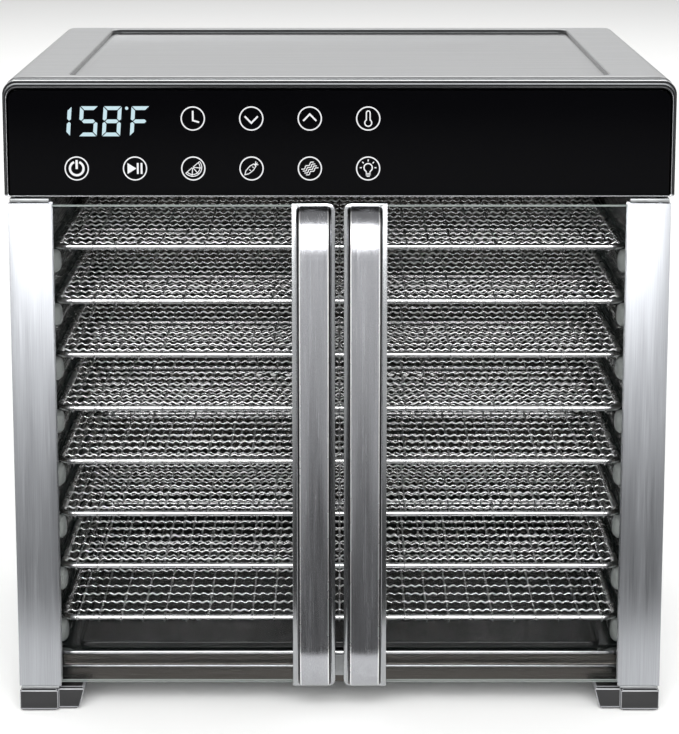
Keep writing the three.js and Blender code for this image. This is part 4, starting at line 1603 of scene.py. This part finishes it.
@dataclass
class Cabinet:
    """Shell, chamber, sill, feet and hinges."""

    palette: Palette
    rib_count: int = 8
    rib_height: float = 12.5
    rib_reach: float = 5.3
    rib_dome: float = 9.0
    rib_ends: Flat = (3.5, 4.7)
    liner_sheet: float = 1.2
    tray_gap: float = 0.3
    hole_pitch: float = 9.0
    hole_radius: float = 2.6
    holes_radius: float = 78.0
    punch_depth: float = 8.0
    lip_z: float = 28.1
    bead_z: float = 21.5
    bead_half: float = 0.55

    def build(self) -> None:
        """Builds the fixed cabinet."""
        finish = self.palette
        for side in ("left", "right"):
            panel = refined(f"{side}_side_panel", f"{side}_side_sheet", finish.side, 0.35)
            install(panel, "cabinet", "body_steel", f"{side}_side_panel")
            install(self.liner(side), "cabinet", "dark_liner", f"{side}_liner")
            for end in ("front", "rear"):
                foot = refined(f"{end}_{side}_foot", f"{end}_{side}_foot_block", finish.plastic, 0.4)
                # The feet's rounded edges take a painted highlight.
                self.brighten(foot, finish.edge_highlight, self.rounded)
                install(foot, "cabinet", "black_plastic", f"{end}_{side}_foot")
            for level in ("upper", "lower"):
                hinge = f"{side}_{level}_hinge"
                plate = refined(f"{hinge}_plate", f"{hinge}_leaf", finish.zinc, 0.3)
                install(plate, "cabinet", "plated_steel", f"{hinge}_plate")
                dress(f"{hinge}_pin", finish.bright)
        sill = refined("front_sill", "sill_rail", finish.sill, 0.35)
        # The sill's top lip and its bead take painted highlights in brighter steel.
        self.brighten(sill, finish.bright, lambda face: face.center.z > self.lip_z * MM)
        bead = (self.bead_z - self.bead_half, self.bead_z + self.bead_half)
        self.brighten(sill, finish.trim, lambda face: bead[0] < face.center.z / MM < bead[1])
        install(sill, "cabinet", "dark_liner", "front_sill")
        pan = refined("base_pan", "bottom_pan", finish.zinc, 0.4)
        install(pan, "cabinet", "plated_steel", "base_pan")
        back = refined("back_panel", "rear_sheet", finish.side, 0.3, 1)
        install(back, "cabinet", "plated_steel", "back_panel")
        dress("chamber_floor", finish.trim)
        dress("chamber_ceiling", finish.liner)
        dress("chamber_lamp", finish.lens)
        dress("temperature_probe", finish.bright)
        dress("magnet_strike", finish.zinc)
        install(self.baffle(), "cabinet", "dark_liner", "fan_baffle")

    def rounded(self, face: bpy.types.MeshPolygon) -> bool:
        """Says whether a face lies on the rounding between two straight ones."""
        return 0.75 < max(abs(c) for c in face.normal) < 0.985

    def brighten(
        self,
        piece: bpy.types.Object,
        material: bpy.types.Material,
        chosen: Callable[[bpy.types.MeshPolygon], bool],
    ) -> None:
        """Gives the chosen faces of a piece a second finish; here that paints highlights on the feet's
        rounded edges and on the sill's lip and bead.

        Args:
            piece: the piece.
            material: the finish.
            chosen: says which faces take it.
        """
        piece.data.materials.append(material)
        index = len(piece.data.materials) - 1
        for face in piece.data.polygons:
            if chosen(face):
                face.material_index = index

    def liner(self, side: str) -> bpy.types.Object:
        """Chamber wall with a pressed rib under each tray, its ends drawn out round.

        Args:
            side: left or right.

        Returns:
            The liner.
        """
        box = box_of(f"{side}_liner")
        sign = -1 if side == "left" else 1
        outer = box.high.x if sign > 0 else box.low.x
        wall = outer - sign * self.liner_sheet
        sheet = Builder()
        sheet.block((min(wall, outer), box.low.y, box.low.z), (max(wall, outer), box.high.y, box.high.z))
        front, rear = box.low.y + self.rib_ends[0], box.high.y - self.rib_ends[1]
        for number in range(1, self.rib_count + 1):
            top = box_of(f"tray_{number}").low.z - self.tray_gap
            self.rib(sheet, wall, sign, (front, rear), top)
        # The second material is the painted highlight on the ribs' front ends.
        return sheet.make(f"{side}_chamber_wall", [self.palette.liner, self.palette.rib_end_highlight], angle=60)

    def rib(self, sheet: Builder, wall: float, sign: int, ys: Flat, top: float) -> None:
        """Adds one rib with domed ends.

        Args:
            sheet: the builder that takes it.
            wall: the x of the wall's face.
            sign: -1 on the left, 1 on the right.
            ys: front and rear end.
            top: the height of its flat top.
        """
        half = self.rib_height / 2
        centre = top - half
        rises = [math.radians(degrees) for degrees in (8, 25, 45, 65, 90)]
        stations = [(ys[0] + self.rib_dome * (1 - math.cos(rise)), math.sin(rise)) for rise in rises]
        stations += [(ys[1] - (y - ys[0]), share) for y, share in reversed(stations)]
        loops = []
        for y, share in stations:
            reach = self.rib_reach * share
            tall = half * (0.45 + 0.55 * share)
            loop = []
            for step in range(9):
                angle = math.radians(-90 + 22.5 * step)
                swell = abs(math.cos(angle)) ** 0.55
                rise = math.copysign(abs(math.sin(angle)) ** 0.7, math.sin(angle))
                loop.append((wall - sign * reach * swell, y, centre + tall * rise))
            loop.append((wall + sign * 0.6, y, centre + tall))
            loop.append((wall + sign * 0.6, y, centre - tall))
            loops.append(loop)
        # The four bands of the rib's front end take the painted highlight; the rest is liner steel.
        sheet.loft(loops, lambda band: 1 if band < 4 else 0)

    def baffle(self) -> bpy.types.Object:
        """Rear chamber wall pierced by a round field of air holes in front of the fan."""
        box = box_of("fan_baffle")
        tree, start = new_tree(
            "pierced_plate",
            {"Hole Radius": Socket.LENGTH, "Depth": Socket.LENGTH, "Plate Size": Socket.VECTOR},
        )
        punch = add_node(
            tree,
            "GeometryNodeMeshCylinder",
            {"Vertices": 10, "Radius": start.outputs["Hole Radius"], "Depth": start.outputs["Depth"]},
        )
        holes = add_node(
            tree,
            "GeometryNodeInstanceOnPoints",
            {
                "Points": start.outputs["Geometry"],
                "Instance": punch.outputs[0],
                "Rotation": (math.pi / 2, 0.0, 0.0),
            },
        )
        plate = add_node(tree, "GeometryNodeMeshCube", {"Size": start.outputs["Plate Size"]})
        cut = add_node(tree, "GeometryNodeMeshBoolean", {0: plate.outputs[0]}, operation="DIFFERENCE")
        real = add_node(tree, "GeometryNodeRealizeInstances", {0: holes.outputs[0]})
        tree.links.new(real.outputs[0], cut.inputs[1])
        close_tree(tree, cut.outputs[0], self.palette.liner)
        fan = box_of("fan_wheel").middle - box.middle
        # Rows lie 0.87 of a pitch apart, and every other row is half a pitch along.
        points = []
        for row in range(-9, 10):
            for column in range(-9, 10):
                x = (column + 0.5 * (row % 2)) * self.hole_pitch
                z = row * self.hole_pitch * 0.87
                if x * x + z * z < self.holes_radius**2:
                    points.append((fan.x + x, 0.0, fan.z + z))
        values = {
            "Hole Radius": self.hole_radius * MM,
            "Depth": self.punch_depth * MM,
            "Plate Size": tuple(box.size * MM),
        }
        mesh = grow("baffle_plate", tree, values, points)
        mesh.transform(Matrix.Translation(box.middle * MM))
        smooth_faces(mesh)
        return linked("baffle_plate", mesh)


# ---- Rear -----------------------------------------------------------------------------------


@dataclass
class Rear:
    """Vent cover, mains inlet and the screws that hold the back on."""

    palette: Palette
    slat_pitch: float = 7.2
    slat_depth: float = 8.2
    slat_sheet: float = 1.6
    slat_lean: float = -50.0
    rim: float = 5.0
    rim_rise: float = 6.7
    rim_corner: float = 6.0
    head_radius: float = 2.9
    head_top: float = 2.088
    head_height: float = 1.5
    slot: Point = (3.2, 0.7, 1.8)
    slot_turn: float = 0.3
    screw_edge: float = 8.0

    def build(self) -> None:
        """Builds the rear fittings."""
        install(self.vent_rim(), "cabinet", "black_plastic", "rear_vent_cover")
        install(self.slats(), "cabinet", "black_plastic")
        inlet = refined("power_inlet", "mains_inlet", self.palette.plastic, 0.25)
        install(inlet, "cabinet", "black_plastic", "power_inlet")
        install(self.screws(), "cabinet", "plated_steel")

    def vent_rim(self) -> bpy.types.Object:
        """Bevelled frame round the louvres."""
        box = box_of("rear_vent_cover")
        inner, top = self.rim, self.rim_rise
        section = [(0, 0), (0, 4.6), (0.6, 5.9), (2.0, top), (inner - 0.8, top), (inner, 6.0), (inner, 0)]
        loops = []
        for inset, rise in section:
            xs, zs = (box.low.x + inset, box.high.x - inset), (box.low.z + inset, box.high.z - inset)
            outline = rounded_rect(xs, zs, [max(self.rim_corner - inset, 1)] * 4)
            loops.append([(x, box.low.y + rise, z) for x, z in outline])
        ring = Builder()
        ring.loft(loops, ring=True)
        return ring.make("vent_cover_rim", [self.palette.plastic], angle=40)

    def slats(self) -> bpy.types.Object:
        """Slanted slats, one above the other, inside the rim."""
        box = box_of("rear_vent_cover")
        inputs = {"Slat Size": Socket.VECTOR, "Count": Socket.COUNT}
        tree, start = new_tree("louvre_slats", inputs | {"Pitch": Socket.LENGTH, "Lean": Socket.LENGTH})
        slat = add_node(tree, "GeometryNodeMeshCube", {"Size": start.outputs["Slat Size"]})
        step = add_node(tree, "ShaderNodeCombineXYZ", {"Z": start.outputs["Pitch"]})
        rows = add_node(
            tree, "GeometryNodeMeshLine", {"Count": start.outputs["Count"], "Offset": step.outputs[0]}
        )
        lean = add_node(tree, "ShaderNodeCombineXYZ", {"X": start.outputs["Lean"]})
        set_out = add_node(
            tree,
            "GeometryNodeInstanceOnPoints",
            {"Points": rows.outputs[0], "Instance": slat.outputs[0], "Rotation": lean.outputs[0]},
        )
        close_tree(tree, set_out.outputs[0], self.palette.plastic)
        width = box.size.x - 2 * self.rim + 1
        inside = box.size.z - 2 * self.rim
        count = int(inside / self.slat_pitch)
        values = {
            "Slat Size": (width * MM, self.slat_depth * MM, self.slat_sheet * MM),
            "Pitch": self.slat_pitch * MM,
            "Count": count,
            "Lean": math.radians(self.slat_lean),
        }
        mesh = grow("vent_slats", tree, values)
        lowest = box.middle.z - (count - 1) / 2 * self.slat_pitch
        mesh.transform(Matrix.Translation(Vector((0, box.middle.y, lowest)) * MM))
        smooth_faces(mesh)
        return linked("vent_slats", mesh)

    def screws(self) -> bpy.types.Object:
        """Cross-head screws round the edge of the back, the vent cover and the inlet."""
        back, inlet = box_of("back_panel"), box_of("power_inlet")
        edge, plane = self.screw_edge, back.high.y
        points = []
        for x in (back.low.x + edge, back.high.x - edge):
            for share in (0.04, 0.35, 0.65, 0.96):
                points.append((x, plane, back.low.z + back.size.z * share))
        for share in (0.3, 0.7):
            x = back.low.x + back.size.x * share
            points += [(x, plane, back.high.z - edge), (x, plane, back.low.z + edge)]
        beside = self.head_radius + 1
        points += [(x, plane, inlet.middle.z) for x in (inlet.low.x - beside, inlet.high.x + beside)]
        sizes = {"Radius Bottom": self.head_radius, "Radius Top": self.head_top, "Depth": self.head_height}
        tree, start = new_tree(
            "cross_head_screws", {"Slot": Socket.VECTOR} | {name: Socket.LENGTH for name in sizes}
        )
        given = {name: start.outputs[name] for name in sizes}
        cap = add_node(tree, "GeometryNodeMeshCone", {"Vertices": 20} | given)
        slot = add_node(tree, "GeometryNodeMeshCube", {"Size": start.outputs["Slot"]})
        top = add_node(tree, "ShaderNodeCombineXYZ", {"Z": given["Depth"]}).outputs[0]
        cut = add_node(tree, "GeometryNodeMeshBoolean", {0: cap.outputs[0]}, operation="DIFFERENCE")
        for turn in (self.slot_turn, self.slot_turn + math.pi / 2):
            arm = add_node(
                tree,
                "GeometryNodeTransform",
                {"Geometry": slot.outputs[0], "Translation": top, "Rotation": (0.0, 0.0, turn)},
            )
            tree.links.new(arm.outputs[0], cut.inputs[1])
        placed = add_node(
            tree,
            "GeometryNodeInstanceOnPoints",
            {
                "Points": start.outputs["Geometry"],
                "Instance": cut.outputs[0],
                "Rotation": (-math.pi / 2, 0.0, 0.0),
            },
        )
        close_tree(tree, placed.outputs[0], self.palette.bright)
        values = {name: size * MM for name, size in sizes.items()}
        values["Slot"] = tuple(length * MM for length in self.slot)
        mesh = grow("back_screws", tree, values, points)
        smooth_faces(mesh)
        return linked("back_screws", mesh)


# ---- Air drive ------------------------------------------------------------------------------


@dataclass
class AirDrive:
    """Fan, motor and heater behind the baffle."""

    palette: Palette

    def build(self) -> None:
        """Finishes the air drive."""
        wheel = refined("fan_wheel", "fan_blades", self.palette.zinc, 0.2, 1)
        install(wheel, "fan", "plated_steel", "fan_wheel")
        for node, name in (("fan_motor", "motor_can"), ("motor_bracket", "motor_strap")):
            piece = refined(node, name, self.palette.zinc, 0.4)
            install(piece, "cabinet", "plated_steel", node)
        heater = refined("heater_element", "ring_heater", self.palette.sheath, 0.1, 1)
        install(heater, "cabinet", "heater_sheath", "heater_element")


# ---- Studio ---------------------------------------------------------------------------------


@dataclass
class Studio:
    """Pale floor, soft light and the camera."""

    camera_place: Point = (0.0, -1462.0, 472.0)
    camera_tilt: float = 11.16
    lens: float = 128.5
    shift: float = -0.07
    floor_reach: float = 6000.0
    sky_strength: float = 0.85

    def build(self) -> None:
        """Sets the studio up."""
        self.floor()
        self.sky()
        self.lights()
        self.flags()
        self.camera()

    def floor(self) -> None:
        """Lays a wide matt pale floor."""
        sheet = Builder()
        reach = self.floor_reach
        sheet.points = [(x * reach, y * reach, -0.3) for x, y in ((-1, -1), (1, -1), (1, 1), (-1, 1))]
        sheet.face((0, 1, 2, 3))
        material, _, surface = new_material("pale_floor")
        surface.inputs["Base Color"].default_value = linear("#f4f4f3")
        surface.inputs["Roughness"].default_value = 0.6
        sheet.make("floor", [material], closed=False)

    def sky(self) -> None:
        """Even white surround that darkens overhead, for the metal to mirror."""
        world = bpy.data.worlds.new("studio")
        bpy.context.scene.world = world
        world.use_nodes = True
        tree = world.node_tree
        tree.nodes.clear()
        direction = add_node(tree, "ShaderNodeTexCoord").outputs["Generated"]
        height = add_node(tree, "ShaderNodeSeparateXYZ", {0: direction}).outputs["Z"]
        ramp = add_node(tree, "ShaderNodeValToRGB", {0: height})
        stops = ((0.0, 0.98), (0.35, 1.0), (0.6, 0.7), (0.8, 0.42), (1.0, 0.4))
        for position, _ in stops[1:-1]:
            ramp.color_ramp.elements.new(position)
        for element, (_, tone) in zip(ramp.color_ramp.elements, stops):
            element.color = (tone, tone, tone, 1.0)
        shine = {"Color": ramp.outputs[0], "Strength": self.sky_strength}
        light = add_node(tree, "ShaderNodeBackground", shine)
        add_node(tree, "ShaderNodeOutputWorld", {"Surface": light.outputs[0]})

    def lights(self) -> None:
        """Hangs the soft boxes: the key in front, one at the side and one for the floor behind."""
        boxes = (
            ("front_softbox", (-120, -2200, 1300), (0, 0, 150), (2300, 1500), 90.0),
            ("right_softbox", (1900, -700, 1100), (0, 0, 150), (1200, 1200), 9.0),
            ("rear_softbox", (0, 2600, 2600), (0, 1900, 0), (2600, 2600), 60.0),
        )
        for name, place, target, size, power in boxes:
            lamp = bpy.data.lights.new(name, "AREA")
            lamp.shape, lamp.energy = "RECTANGLE", power
            lamp.size, lamp.size_y = size[0] * MM, size[1] * MM
            holder = bpy.data.objects.new(name, lamp)
            bpy.context.scene.collection.objects.link(holder)
            holder.location = Vector(place) * MM
            aim = Vector(target) * MM - holder.location
            holder.rotation_euler = aim.to_track_quat("-Z", "Y").to_euler()

    def flags(self) -> None:
        """Lays grey and dark cards in front of the doors, which only mirror-like metal sees."""
        cards = (
            ("far_card", (-900, -3400, 1), (900, -1900, 3), "#c0c0c0"),
            ("grey_card", (-700, -1900, 1), (700, -225, 3), "#8c8c8c"),
            ("left_card", (-700, -520, 4), (-110, -215, 6), "#646464"),
            ("right_card", (110, -520, 4), (700, -215, 6), "#404040"),
            ("dark_card", (-110, -850, 4), (110, -215, 6), "#111111"),
        )
        for name, low, high, color in cards:
            card = Builder()
            card.block(low, high)
            material, _, surface = new_material(name)
            surface.inputs["Base Color"].default_value = linear(color)
            surface.inputs["Roughness"].default_value = 0.9
            piece = card.make(name, [material])
            for ray in ("camera", "diffuse", "shadow", "transmission", "volume_scatter"):
                setattr(piece, f"visible_{ray}", False)

    def camera(self) -> None:
        """Places the camera in front, a little above the cover."""
        data = bpy.data.cameras.new("view")
        data.lens, data.shift_y = self.lens, self.shift
        data.clip_end = 50
        holder = bpy.data.objects.new("view", data)
        bpy.context.scene.collection.objects.link(holder)
        holder.location = Vector(self.camera_place) * MM
        holder.rotation_euler = Euler((math.radians(90 - self.camera_tilt), 0, 0))
        bpy.context.scene.camera = holder
        bpy.context.scene.view_settings.view_transform = "Standard"


def main() -> None:
    """Builds the studio and every sub-assembly in order."""
    logging.basicConfig(level=logging.INFO, format="%(name)s: %(message)s")
    Studio().build()
    palette = Palette()
    Cabinet(palette).build()
    Head(palette).build()
    FasciaMarks(palette).build()
    AirDrive(palette).build()
    Rear(palette).build()
    TrayStack(palette).build()
    for side in ("left", "right"):
        Door(palette, side).build()


if __name__ == "__main__":
    main()
